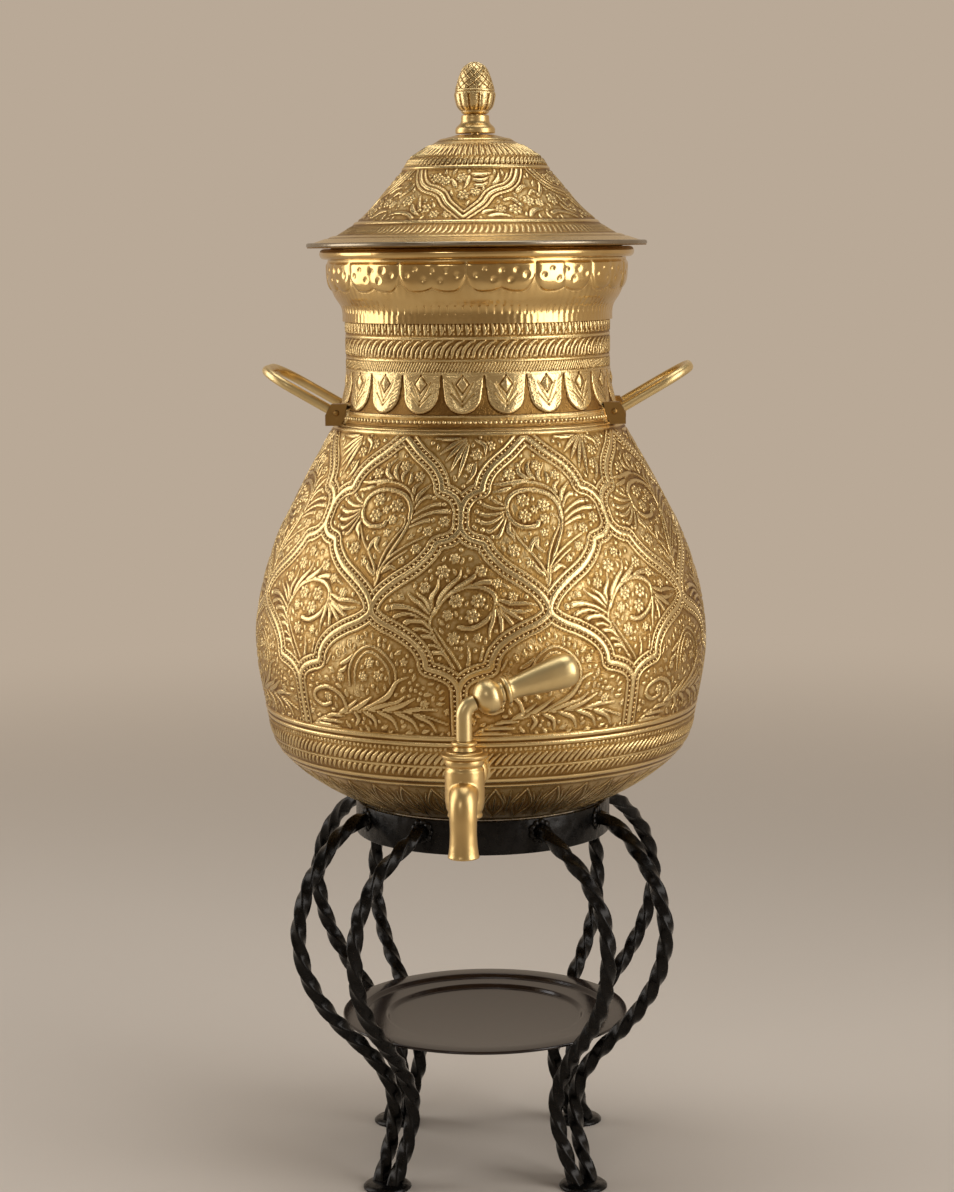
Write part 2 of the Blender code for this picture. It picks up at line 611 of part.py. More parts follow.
def build_tap_key(key, brass):
    """The plug and all that turns with it; heights are from the tap's cross axis."""
    bottom = -BARREL_BELOW
    top = BARREL_ABOVE + FIT_GAP
    plug_radius = PLUG_BORE_RADIUS - FIT_GAP
    washer_low = bottom - FIT_GAP - PLUG_WASHER_THICKNESS
    nut_low = washer_low - FIT_GAP - PLUG_NUT_THICKNESS
    ring_low = top + CAP_DISC_THICKNESS + FIT_GAP
    ring_top = ring_low + STEM_RING_HEIGHT
    plug = turned("tap_plug", [(0, nut_low), (PLUG_TAIL_RADIUS, nut_low), (PLUG_TAIL_RADIUS, bottom),
                               (plug_radius, bottom), (plug_radius, BARREL_ABOVE),
                               (PLUG_SPIGOT_RADIUS, BARREL_ABOVE), (PLUG_SPIGOT_RADIUS, ring_top),
                               (0, ring_top)], KNOB_FACETS, brass, key)
    port = rod("plug_port", WATERWAY_RADIUS, -PLUG_BORE_RADIUS - CUT_OVERRUN,
               PLUG_BORE_RADIUS + CUT_OVERRUN, SMALL_FACETS, key, rotation=(0, math.pi / 2, 0))
    combine(plug, "DIFFERENCE", as_form(port))

    tail_hole = PLUG_TAIL_RADIUS + FIT_GAP
    washer_top = washer_low + PLUG_WASHER_THICKNESS
    turned("plug_washer", [(tail_hole, washer_low), (PLUG_WASHER_RADIUS, washer_low),
                           (PLUG_WASHER_RADIUS, washer_top), (tail_hole, washer_top)],
           SMALL_FACETS, brass, key)
    hex_nut("plug_nut", PLUG_NUT_RADIUS, tail_hole, nut_low, nut_low + PLUG_NUT_THICKNESS, brass, key)

    hole = PLUG_SPIGOT_RADIUS + FIT_GAP
    disc_top = top + CAP_DISC_THICKNESS
    edge = CAP_DISC_THICKNESS / 4
    turned("tap_cap_disc", [(hole, top), (CAP_DISC_RADIUS - edge, top), (CAP_DISC_RADIUS, top + edge),
                            (CAP_DISC_RADIUS, disc_top - edge), (CAP_DISC_RADIUS - edge, disc_top),
                            (hole, disc_top)], KNOB_FACETS, brass, key)
    ring = stepped(STEM_RING_SHARES, STEM_RING_RADIUS, STEM_RING_HEIGHT, ring_low)
    turned("stem_ring", ring + [Vector((hole, ring_top)), Vector((hole, ring_low))], KNOB_FACETS, brass, key)
    build_lever(key, brass, ring_top + FIT_GAP)


def build_lever(key, brass, foot):
    """Bent stem, ball and pear grip."""
    azimuth = math.radians(LEVER_AZIMUTH_DEGREES)
    outward = Vector((math.cos(azimuth), math.sin(azimuth), 0))
    level = Vector((-outward.y, outward.x, 0))
    up = Vector((0, 0, 1))
    bend_z = foot + STEM_STRAIGHT
    line = [(Vector((0, 0, foot)), up)]
    for k in range(5):
        turn = math.radians(STEM_BEND_DEGREES) * k / 4
        reach = STEM_BEND_RADIUS * (1 - math.cos(turn))
        centre = outward * reach + up * (bend_z + STEM_BEND_RADIUS * math.sin(turn))
        line.append((centre, up * math.cos(turn) + outward * math.sin(turn)))
    end, along = line[-1]
    line.append((end + along * BALL_STEM_LENGTH, along))
    rings = []
    for centre, travel in line:
        sideways = travel.cross(level)
        rings.append([centre + STEM_RADIUS * (math.cos(math.tau * k / 12) * level
                                              + math.sin(math.tau * k / 12) * sideways)
                      for k in range(12)])
    swept("lever_stem", rings, brass, key)

    ball_centre = line[-1][0] + along * (BALL_HALF_LENGTH + FIT_GAP)
    lying = (0, math.pi / 2 - math.radians(GRIP_RISE_DEGREES), azimuth)
    ball = [(BALL_RADIUS * math.sin(math.pi * k / 8), -BALL_HALF_LENGTH * math.cos(math.pi * k / 8))
            for k in range(1, 8)]
    turned("lever_ball", [(0, -BALL_HALF_LENGTH)] + ball + [(0, BALL_HALF_LENGTH)], SMALL_FACETS, brass, key,
           location=ball_centre, rotation=lying)
    start = BALL_HALF_LENGTH + FIT_GAP
    grip = [Vector((0, start))] + stepped(GRIP_SHARES, GRIP_RADIUS, GRIP_LENGTH, start)
    grip.append(Vector((0, start + GRIP_LENGTH)))
    turned("lever_grip", grip, SMALL_FACETS, brass, key, location=ball_centre, rotation=lying)


# Lid

def build_lid(lid, brass):
    """Dome, the ring that locates it in the mouth, and the knob with its stud and nut."""
    outside = lid_outline()
    inside = offset_outline(outside, SHEET)
    crown_z = outside[-1].y
    stud_hole = KNOB_STUD_RADIUS + FIT_GAP
    inside[-1].y = crown_z - SHEET
    dome = turned("lid_dome", [Vector((0, crown_z))] + outside[-2::-1] + inside, URN_FACETS, brass, lid)
    hole = rod("stud_hole", stud_hole, crown_z - SHEET - CUT_OVERRUN, crown_z + CUT_OVERRUN,
               SMALL_FACETS, lid)
    combine(dome, "DIFFERENCE", as_form(hole))

    skirt = BEAD_CENTRE_RADIUS - BEAD_RADIUS - LID_SKIRT_CLEARANCE
    skirt_in = skirt - SHEET
    seat = BEAD_TOP_Z + FIT_GAP
    flange = BEAD_CENTRE_RADIUS + LID_FLANGE_REACH
    depth = seat - LID_SKIRT_DEPTH
    under_out = height_at(inside, skirt) - FIT_GAP
    under_in = height_at(inside, skirt_in) - FIT_GAP
    turned("lid_locating_ring", [(skirt_in, depth), (skirt, depth), (skirt, seat), (flange, seat),
                                 (flange, seat + SHEET), (skirt, seat + SHEET), (skirt, under_out),
                                 (skirt_in, under_in)], URN_FACETS, brass, lid)

    base_z = crown_z + FIT_GAP
    finial_z = base_z + KNOB_BASE_HEIGHT + FIT_GAP
    base = stepped(KNOB_BASE_SHARES, KNOB_BASE_RADIUS, KNOB_BASE_HEIGHT, base_z)
    turned("knob_base", base + [Vector((stud_hole, base[-1].y)), Vector((stud_hole, base_z))],
           KNOB_FACETS, brass, lid)
    finial = stepped(FINIAL_SHARES, FINIAL_RADIUS, FINIAL_HEIGHT, finial_z)
    socket = finial_z + KNOB_STUD_GRIP
    turned("knob_finial", [Vector((0, socket + FIT_GAP)), Vector((stud_hole, socket + FIT_GAP)),
                           Vector((stud_hole, finial_z))] + finial
           + [Vector((0, finial_z + FINIAL_HEIGHT))], KNOB_FACETS, brass, lid)

    washer_top = crown_z - SHEET - FIT_GAP
    washer_low = washer_top - KNOB_WASHER_THICKNESS
    nut_top = washer_low - FIT_GAP
    turned("knob_washer", [(stud_hole, washer_low), (KNOB_WASHER_RADIUS, washer_low),
                           (KNOB_WASHER_RADIUS, washer_top), (stud_hole, washer_top)],
           SMALL_FACETS, brass, lid)
    hex_nut("knob_nut", KNOB_NUT_RADIUS, stud_hole, nut_top - KNOB_NUT_THICKNESS, nut_top, brass, lid)
    rod("knob_stud", KNOB_STUD_RADIUS, crown_z - KNOB_STUD_TAIL, socket, SMALL_FACETS, lid, brass)


def main():
    """Clear the scene and build the dispenser."""
    for old in list(bpy.data.objects):
        bpy.data.objects.remove(old)
    chased_brass = finish("chased_brass", (0.72, 0.52, 0.23), 0.34, 1.0)
    cast_brass = finish("polished_cast_brass", (0.80, 0.60, 0.28), 0.22, 1.0)
    iron = finish("black_wrought_iron", (0.03, 0.028, 0.026), 0.5, 0.3)
    tray_enamel = finish("dark_brown_enamel", (0.045, 0.025, 0.02), 0.18, 0.0)
    rubber = finish("black_rubber", (0.02, 0.02, 0.02), 0.8, 0.0)

    front = TAP_REACH + SPOUT_FORWARD + SPOUT_LIP_RADIUS
    dispenser = empty("dispenser", (0, (front - BELLY_RADIUS) / 2, 0))
    stand = empty("stand_frame", (0, 0, 0), dispenser)
    stand.rotation_euler.z = math.radians(STAND_TURN_DEGREES)
    urn = empty("urn_frame", (0, 0, 0), dispenser)
    key = empty("tap_key_frame", (0, -TAP_REACH, TAP_Z), urn)
    lid = empty("lid_frame", (0, 0, 0), urn)
    build_stand(stand, iron, tray_enamel)
    build_urn(urn, chased_brass)
    build_handles(urn, cast_brass)
    build_tap_body(urn, cast_brass, rubber)
    build_tap_key(key, cast_brass)
    build_lid(lid, chased_brass)
    bpy.context.view_layer.update()


main()
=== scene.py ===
"""Looks of a chased brass drink dispenser on its wrought-iron stand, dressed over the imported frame."""

import math

import bmesh
import bpy
import numpy as np
from bpy.props import FloatProperty, FloatVectorProperty, IntProperty, PointerProperty
from mathutils import Euler, Matrix, Vector


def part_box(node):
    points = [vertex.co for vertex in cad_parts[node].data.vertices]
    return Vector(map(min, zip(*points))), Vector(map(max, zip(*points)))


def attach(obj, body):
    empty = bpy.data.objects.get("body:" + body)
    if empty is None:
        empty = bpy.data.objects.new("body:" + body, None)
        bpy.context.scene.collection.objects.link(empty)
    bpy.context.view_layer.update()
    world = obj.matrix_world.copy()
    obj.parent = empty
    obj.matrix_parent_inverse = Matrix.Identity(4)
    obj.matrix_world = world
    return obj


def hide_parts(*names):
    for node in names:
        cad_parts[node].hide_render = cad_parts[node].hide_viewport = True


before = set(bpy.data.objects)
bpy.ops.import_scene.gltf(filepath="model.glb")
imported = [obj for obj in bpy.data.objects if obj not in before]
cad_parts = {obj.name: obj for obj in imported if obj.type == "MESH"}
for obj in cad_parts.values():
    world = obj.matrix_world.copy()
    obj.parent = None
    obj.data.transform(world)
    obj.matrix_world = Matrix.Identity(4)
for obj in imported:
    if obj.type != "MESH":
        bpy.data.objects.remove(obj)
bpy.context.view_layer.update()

bl_info = {
    "name": "Chased Brass Dispenser",
    "version": (1, 0, 0),
    "blender": (4, 5, 0),
    "location": "View3D > Sidebar > Dispenser",
    "description": "Dresses the frame of a brass drink dispenser in chased, cast and forged metal",
    "category": "Object",
}

MM = 0.001
RING_LOW, RING_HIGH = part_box("stand_ring")
AXIS = (RING_LOW + RING_HIGH) / 2
BOWL_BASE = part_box("urn_bowl")[0].z
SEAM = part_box("urn_bowl")[1].z
NECK_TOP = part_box("urn_neck")[1].z
COLLAR_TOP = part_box("urn_collar")[1].z
LID_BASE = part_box("lid_dome")[0].z
LID_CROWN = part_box("lid_dome")[1].z
TAP = Vector((0, (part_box("tap_cap_disc")[0].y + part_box("tap_cap_disc")[1].y) / 2,
              (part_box("tap_saddle")[0].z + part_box("tap_saddle")[1].z) / 2))

BOWL_SHARES = ((0.385, 0.0), (0.5416, 0.0269), (0.753, 0.0922), (0.9155, 0.1807), (0.9676, 0.301),
               (1.0, 0.437), (0.9775, 0.5661), (0.9089, 0.698), (0.819, 0.807), (0.72, 0.9132),
               (0.6357, 1.0))
NECK_SHARES = ((0.93, 0.02), (0.69, 0.06), (0.29, 0.25), (0.0, 0.45), (0.0, 1.0))
COLLAR_SHARES = ((0.0, 0.04), (0.108, 0.163), (0.56, 0.34), (0.903, 0.572), (1.0, 0.79), (1.0, 1.0))
GRIP_SHARES = ((0.60, 0.0), (0.80, 0.012), (0.82, 0.05), (0.64, 0.085), (0.63, 0.17), (0.75, 0.36),
               (0.89, 0.56), (0.98, 0.72), (1.0, 0.82), (0.93, 0.90), (0.74, 0.955), (0.42, 0.987))
LEG_UPPER_SHARES = ((0.0, 1.0), (0.12, 0.98), (0.38, 0.87), (0.66, 0.67), (0.87, 0.44), (0.98, 0.18))
LEG_LOWER_SHARES = ((1.0, 1.0), (0.955, 0.84), (0.85, 0.70), (0.70, 0.57), (0.52, 0.455), (0.34, 0.35),
                    (0.175, 0.24), (0.05, 0.12))
LEG_FOOT_SHARES = ((0.0, 1.0), (0.13, 0.67), (0.52, 0.33), (1.0, 0.0))
LEG_REACHES = (0.0863, 0.1447, 0.0772, 0.0925)
LEG_HEIGHTS = (0.2455, 0.174, 0.053, 0.0039)
SPREAD_HEIGHT_SHARES = (1.0, 0.91, 0.81, 0.70, 0.41, 0.33, 0.215, 0.0)
SPREAD_ANGLE_SHARES = (1.0, 0.71, 0.61, 0.59, 0.48, 0.40, 0.37, 0.215)
LEG_SPREAD_DEGREES = 18.5
STAND_TURN_DEGREES = 2.4
FOOT_AZIMUTHS_DEGREES = {"front_right": -45, "front_left": -135, "back_right": 45, "back_left": 135}
LID_SHARES = ((1.0, 0.0), (0.895, 0.055), (0.79, 0.121), (0.645, 0.29), (0.53, 0.497), (0.435, 0.68),
              (0.38, 0.80), (0.225, 0.945), (0.12, 1.0))

# The bowl's strap work: ridge lines of one side of a cell, degrees from its middle and height in mm
STRAP_UPPER = ((0, 504), (3.2, 499.6), (6.6, 494.4), (9.8, 490.2), (12.8, 485.6), (14.9, 480.4),
               (15.9, 475.6),
               (16.3, 472.2), (18.6, 470.6), (20.7, 467.6), (22, 463.4), (22.5, 459), (22.5, 452))
STRAP_LOWER = ((22.5, 452), (22.3, 449), (21.3, 445.6), (19.4, 442.6), (16.2, 440.4), (15.2, 436.4),
               (13.2, 430.6), (10.4, 424.6), (6.5, 418.5), (3.5, 413), (1.5, 408), (0.2, 402), (0, 397))
STRAP_FOOT = ((0, 400), (0.8, 396), (3.5, 391.5), (6.8, 388), (10.6, 382.6), (13.2, 376.5), (14.5, 370),
              (14.9, 364.8), (17.2, 363), (19.9, 360.2), (21.7, 356), (22.4, 351), (22.5, 346), (22.5, 318))
CELL_MIDDLE = -24.5
CELL_WIDTH = 45.0
# Height from the ground to the crests in the drawings
DRAWN_SPAN = 1.15
# How far the camera stands to the right of straight ahead
CAMERA_SIDE_DEGREES = 3.4

# Motifs: (kind, width in mm, points as degrees from the front and height in mm)
UPPER_MEDALLION = (
    ("stem", 2.3, ((21, 414), (21.8, 424), (24, 435), (27, 448), (28.4, 461), (27, 469.5), (23.5, 474.5),
                   (19, 476.3), (14, 474.5))),
    ("stem", 1.9, ((20.8, 414), (20, 424), (17.6, 433), (14.6, 441), (12.5, 449), (10.8, 457))),
    ("stem", 1.7, ((21, 415), (21.2, 426), (22.3, 435), (24.2, 443), (26.4, 450), (26.4, 455),
                   (24.4, 456.6))),
    ("stem", 1.7, ((21.2, 417), (22.2, 427), (25, 434), (29, 440), (33, 444.5))),
    ("stem", 1.5, ((22.4, 425), (25.4, 431), (28.6, 436))),
    ("leaf", 2.4, ((20.3, 420), (18, 425), (16.8, 430), (15.2, 431.5))),
    ("leaf", 2.4, ((22, 422), (24, 425.5), (25.6, 425), (26.5, 423))),
    ("leaf", 2.6, ((17, 435), (17.6, 439.5), (19.2, 442.5), (19, 438), (21, 434))),
    ("scroll", 2.7, ((27.8, 455), (27.6, 462), (25, 468.6), (20, 471.6), (15, 470.6), (12, 466), (11.4, 459),
                     (13, 452.6), (16, 449.6), (19.6, 450.2), (20.4, 452.4))),
    ("rosette", 3.6, ((16.6, 465.6),)),
    ("rosette", 3.6, ((22.8, 462.4),)),
    ("rosette", 3.6, ((16.6, 456.2),)),
    ("rosette", 2.8, ((22.4, 454.2),)),
    ("rosette", 2.2, ((19.6, 459.8),)),
    ("curl", 2.6, ((10.9, 461), (8.2, 461), (5.4, 462.6), (3.4, 465))),
    ("curl", 2.7, ((10.6, 459), (7.6, 457.4), (4.6, 457.4), (2.6, 459.4))),
    ("curl", 2.6, ((10.4, 457.4), (7.6, 453.6), (5, 452.4), (2.8, 454))),
    ("curl", 2.5, ((10.6, 456), (8.4, 450.6), (6.4, 447.6), (4.2, 448.6))),
    ("curl", 2.4, ((11, 455), (9.8, 449), (8.6, 444.6), (6.8, 444.4))),
    ("leaf", 2.6, ((12, 453), (11.4, 448), (12.6, 444.5), (13, 441))),
    ("curl", 2.3, ((10.6, 463), (8.4, 465), (6.8, 467.6))),
    ("leaf", 2.3, ((13.4, 473.4), (10.4, 471.6), (7.6, 470.8))),
    ("leaf", 2.5, ((19.6, 477.4), (15, 476.6), (10.8, 475.6), (7.6, 475.6))),
    ("leaf", 2.5, ((20.4, 478.2), (18.2, 479.4), (16.4, 482.6), (17, 487), (19.4, 490.6))),
    ("leaf", 2.6, ((21.6, 477.8), (19.8, 481.8), (19.8, 486.2), (20.8, 489))),
    ("leaf", 2.3, ((23.4, 476.6), (22.8, 480.6), (24.2, 484.6), (25.6, 487.4))),
    ("leaf", 2.3, ((25.4, 475), (26, 478), (25.6, 482.4))),
    ("rosette", 3.4, ((13.2, 481.2),)),
    ("rosette", 2.8, ((22.8, 486.4),)),
    ("rosette", 2.8, ((28.8, 480),)),
    ("dome", 1.4, ((16.2, 486.6),)),
    ("dome", 1.3, ((18, 492.6),)),
    ("dome", 1.3, ((22.4, 492.2),)),
    ("dome", 1.3, ((10.6, 478.2),)),
    ("leaf", 2.4, ((28.9, 464), (29.6, 469), (31.6, 473), (33.2, 475.6))),
    ("leaf", 2.0, ((28.2, 469), (27.6, 473), (30, 477))),
    ("curl", 2.5, ((29, 461), (30.4, 465.6), (32.6, 468.4), (34.6, 467.6))),
    ("curl", 2.5, ((29, 457), (31.6, 460.6), (35, 463.4), (37.8, 463.6))),
    ("curl", 2.6, ((28.7, 453), (32, 457), (36, 459.4), (40, 459.4))),
    ("curl", 2.4, ((28.2, 450), (32, 453.4), (35, 454.4))),
    ("rosette", 3.0, ((38.2, 453.4),)),
    ("rosette", 2.8, ((33.8, 447.4),)),
    ("rosette", 2.8, ((31, 437),)),
    ("rosette", 2.0, ((27.4, 430),)),
    ("rosette", 3.4, ((12.4, 436),)),
    ("rosette", 2.2, ((16.4, 428),)),
    ("rosette", 2.2, ((21.6, 446.2),)),
    ("dome", 1.3, ((24.6, 448.4),)),
    ("dome", 1.3, ((36.6, 449),)),
)
LOWER_MEDALLION = (
    ("stem", 2.4, ((-1.4, 353), (-2.6, 362), (-5, 373), (-7.6, 384), (-9, 392), (-8, 400))),
    ("stem", 1.6, ((-1, 353), (-1.2, 363), (-3.4, 373), (-6.2, 383), (-8, 390))),
    ("scroll", 2.7, ((-8, 399), (-6.6, 405), (-4, 411), (0, 415), (4.2, 414), (6.8, 409.6), (7.2, 403.4),
                     (5.8, 397), (3.4, 392), (0.6, 389.4), (-1.8, 390.4))),
    ("rosette", 3.7, ((-2.6, 406.2),)),
    ("rosette", 3.7, ((2.8, 406.2),)),
    ("rosette", 3.7, ((1.4, 397),)),
    ("rosette", 2.8, ((-4.6, 397.6),)),
    ("rosette", 3.4, ((-3.2, 383.6),)),
    ("rosette", 2.4, ((2.6, 383.8),)),
    ("curl", 3.2, ((-9.2, 395), (-12.6, 400), (-16.6, 402.4), (-20, 401))),
    ("curl", 2.6, ((-10, 394), (-14, 398), (-17.4, 396.4), (-18.6, 393))),
    ("curl", 3.2, ((-8.4, 388.6), (-11, 393.6), (-14.2, 393.4), (-16, 390))),
    ("curl", 2.4, ((-8.4, 386), (-11, 389), (-13.4, 387.6), (-14, 384.6))),
    ("curl", 3.0, ((-6.4, 379), (-8.4, 384), (-10.8, 384.2), (-12, 381.4))),
    ("curl", 2.2, ((-6, 376.6), (-8.2, 379.2), (-9.8, 377.4), (-10, 375.4))),
    ("curl", 2.8, ((-4, 369), (-5.6, 374), (-7.8, 374.6), (-8.8, 371.6))),
    ("leaf", 2.2, ((-3, 362), (-5, 366.4), (-7.4, 367.6))),
    ("leaf", 2.6, ((-7.4, 403), (-6.4, 409), (-4.4, 415), (-2, 420.4), (-1.4, 426))),
    ("leaf", 2.4, ((-8.4, 401), (-8.8, 408), (-7.4, 414), (-7.2, 419.6))),
    ("leaf", 2.4, ((-9, 398), (-11.2, 403.6), (-13.6, 407.4), (-15, 411))),
    ("leaf", 2.4, ((-8.8, 400), (-10.2, 406), (-12.6, 410.6))),
    ("leaf", 2.6, ((-3.2, 413.4), (0, 417.6), (2.2, 422), (2.4, 427))),
    ("leaf", 2.4, ((1.6, 416.4), (5, 417.6), (8.2, 416.4), (11, 413.4))),
    ("rosette", 3.6, ((-6.2, 423.6),)),
    ("rosette", 2.8, ((-3.2, 431.6),)),
    ("rosette", 3.2, ((3.6, 424),)),
    ("rosette", 2.6, ((7.6, 416.6),)),
    ("rosette", 3.0, ((-10.6, 414),)),
    ("dome", 1.4, ((-1.6, 437),)),
    ("dome", 1.3, ((0.8, 431.6),)),
    ("leaf", 2.4, ((7.4, 404.6), (10, 400.4), (13, 399.2), (16, 400))),
    ("leaf", 2.4, ((7.6, 407), (11, 404.4), (14, 404.4), (17.4, 402.8))),
    ("leaf", 2.5, ((7.2, 403), (8.2, 396), (8.4, 389), (8, 382.6))),
    ("leaf", 2.3, ((6.8, 402), (6.4, 395), (5.6, 388.6), (5.4, 383))),
    ("leaf", 2.4, ((7.6, 402), (10, 395), (11.4, 390), (11, 385.6))),
    ("leaf", 2.4, ((8, 402.4), (12, 396.4), (14, 393), (14.4, 389.6))),
    ("rosette", 2.6, ((11.4, 408.4),)),
    ("dome", 1.5, ((14.8, 408),)),
    ("dome", 1.4, ((17, 397.4),)),
    ("leaf", 2.2, ((-1, 354), (0, 363), (0.6, 372), (0.2, 379))),
    ("leaf", 2.2, ((-0.6, 354), (2, 362), (3.4, 371), (3.8, 379))),
    ("leaf", 2.2, ((-0.2, 354), (4, 361), (6.6, 369), (7.4, 377))),
    ("leaf", 2.0, ((0.4, 355), (5.4, 360), (8.4, 365), (9.6, 371))),
    ("dome", 1.4, ((-1.4, 377),)),
    ("dome", 1.4, ((2, 376),)),
    ("dome", 1.4, ((5.4, 375.6),)),
)
FOOT_MEDALLION = (
    ("line", 1.3, ((-30, 351), (-29.8, 362), (-28, 371.4), (-24.4, 377), (-20.6, 373.4), (-17.6, 364),
                   (-17.4, 352))),
    ("line", 1.1, ((-28.4, 352), (-28.2, 361), (-26.8, 369), (-24.4, 373.6), (-21.6, 370.6), (-19.2, 363),
                   (-18.8, 354))),
    ("rosette", 2.8, ((-24.2, 366.6),)),
    ("rosette", 2.8, ((-21.8, 358.6),)),
    ("rosette", 2.6, ((-26, 357.6),)),
    ("dome", 1.4, ((-23.4, 351.6),)),
    ("leaf", 2.2, ((-32.6, 364), (-30.4, 367), (-28.8, 371))),
    ("leaf", 2.2, ((-33.2, 359), (-31.4, 361), (-30.6, 364))),
    ("rosette", 2.4, ((-32.6, 355.6),)),
    ("rosette", 2.2, ((-15.2, 368),)),
    ("dome", 1.3, ((-15, 362.6),)),
    ("stem", 2.4, ((-44, 321.4), (-40, 327), (-34, 331.6), (-28, 334.4), (-20, 336), (-12, 334.8),
                   (-5, 329))),
    ("leaf", 2.6, ((-34.4, 331.6), (-31, 336.4), (-28.4, 341.6))),
    ("leaf", 2.7, ((-31, 333.6), (-27.6, 338), (-24, 344.6))),
    ("leaf", 2.9, ((-27.6, 335), (-22.8, 340.4), (-19.2, 347), (-17.2, 355), (-14.2, 358.8))),
    ("leaf", 2.6, ((-25.4, 335.6), (-21.2, 339.4), (-17.4, 342), (-15, 346.6))),
    ("leaf", 2.6, ((-21.4, 336.4), (-17, 339.4), (-12.6, 345.2))),
    ("leaf", 2.4, ((-16, 336.2), (-11.6, 338.4), (-7.4, 338))),
    ("leaf", 2.4, ((-29.6, 334.2), (-28.4, 329.6), (-29.6, 324.4))),
    ("leaf", 2.5, ((-27, 335), (-24, 330.6), (-23.6, 324))),
    ("leaf", 2.5, ((-23, 335.6), (-19, 331), (-17.8, 324))),
    ("leaf", 2.5, ((-18.4, 335.6), (-14, 331), (-12.4, 324))),
    ("leaf", 2.4, ((-13.4, 334.6), (-9.4, 330), (-7.8, 323.6))),
    ("scroll", 2.3, ((-31.6, 336.4), (-33, 344), (-37, 348.4), (-41, 345.6), (-42, 340), (-39.4, 336),
                     (-36.6, 338))),
    ("rosette", 2.6, ((-37.2, 342),)),
    ("leaf", 2.3, ((-43.6, 322.4), (-39, 322.8), (-34.4, 322.2))),
    ("leaf", 2.3, ((-41, 325.6), (-37.4, 326.4), (-33.4, 325.8))),
    ("leaf", 2.2, ((-38.6, 329), (-36, 330.2), (-32.6, 330.2))),
    ("rosette", 2.2, ((-44, 331),)),
    ("rosette", 2.4, ((-10.4, 341.6),)),
    ("rosette", 2.0, ((-4.8, 337),)),
    ("dome", 1.3, ((-12.4, 350.4),)),
    ("dome", 1.3, ((-4.6, 322.8),)),
)
TOP_MEDALLION = (
    ("leaf", 2.8, ((-1, 503), (-5.4, 499.6), (-10, 494))),
    ("leaf", 2.7, ((-0.8, 502), (-4.8, 496), (-8, 489.6))),
    ("leaf", 2.6, ((-0.6, 500.6), (-3.6, 492.6), (-6, 483.6))),
    ("leaf", 2.4, ((-0.2, 499.4), (-1.8, 490.4), (-3.4, 479.4))),
    ("rosette", 3.2, ((2.6, 493.6),)),
    ("rosette", 2.8, ((0.6, 485.4),)),
    ("rosette", 2.8, ((7.6, 498.8),)),
    ("leaf", 2.4, ((2, 502.4), (5.6, 499), (5.6, 493))),
    ("leaf", 2.2, ((2.4, 489), (1.6, 482), (-0.6, 476))),
    ("dome", 1.5, ((11.4, 501.4),)),
    ("dome", 1.4, ((-1.6, 474.4),)),
    ("dome", 1.5, ((-13.4, 500.4),)),
    ("leaf", 2.2, ((-3, 503.4), (-8, 502.6), (-13, 503))),
)


def linear(code):
    """An sRGB hex colour as linear red, green and blue."""
    values = [int(code[i:i + 2], 16) / 255 for i in (1, 3, 5)]
    return tuple(v / 12.92 if v <= 0.04045 else ((v + 0.055) / 1.055) ** 2.4 for v in values)


def length(name, description, default):
    """A length in metres that a user would change."""
    return FloatProperty(name=name, description=description, default=default, unit="LENGTH")


def colour(name, description, code):
    """A colour that a user would change, from sRGB hex."""
    return FloatVectorProperty(name=name, description=description, subtype="COLOR", size=3, min=0, max=1,
                               default=linear(code))


class DispenserSizes(bpy.types.PropertyGroup):
    """Sizes of the work on the metal."""

    chasing_depth: length("Chasing depth", "How far the ground lies below the crests", 0.00105)
    wall: length("Sheet", "Thickness of the dressed brass sheet", 0.0026)
    bead: length("Strap bead", "Radius of the beads in the strap's grooves", 0.00106)
    bead_pitch: length("Strap bead pitch", "Distance between two beads", 0.0032)
    neck_bead: length("Seam bead", "Radius of the beads round the seam", 0.0015)
    bar_side: length("Bar", "Side of the square iron bar", 0.008)
    twist_pitch: length("Twist", "Length of one full turn of the bar", 0.072)
    bowl_columns: IntProperty(
        name="Bowl columns", description="Mesh columns in one of the bowl's eight cells", default=160)


class DispenserFinishes(bpy.types.PropertyGroup):
    """Colours of the metals."""

    brass: colour("Brass", "Rubbed crests of the sheet brass", "#E5C990")
    # Colour of the hollows: part brown oxide, part painted shade in the grooves
    patina_and_shade: colour("Patina", "Darkened brass in the chased ground", "#6A4722")
    cast: colour("Cast brass", "Polished cast brass of the tap and knob", "#E6C88C")
    iron: colour("Iron", "Oiled black wrought iron", "#100F0E")
    tray: colour("Tray", "Dark enamel of the tray", "#1E1613")


class DispenserStage(bpy.types.PropertyGroup):
    """Camera, floor and backdrop."""

    floor: colour("Floor", "Pale paper of the floor and backdrop", "#D2C7BA")
    backdrop: colour("Backdrop", "Plain tone of the paper away from the object", "#B9A997")
    distance: length("Camera distance", "From the camera to the dispenser's axis", 1.70)
    height: length("Camera height", "Height of the camera above the floor", 0.622)


def add_node(tree, kind, settings=None, values=None, links=None):
    """Add one node, with its settings, its inputs' values and what its inputs are linked to."""
    made = tree.nodes.new(kind)
    for key, value in (settings or {}).items():
        setattr(made, key, value)
    for key, value in (values or {}).items():
        made.inputs[key].default_value = value
    for key, (source, output) in (links or {}).items():
        tree.links.new(source.outputs[output], made.inputs[key])
    return made


# Chased metal

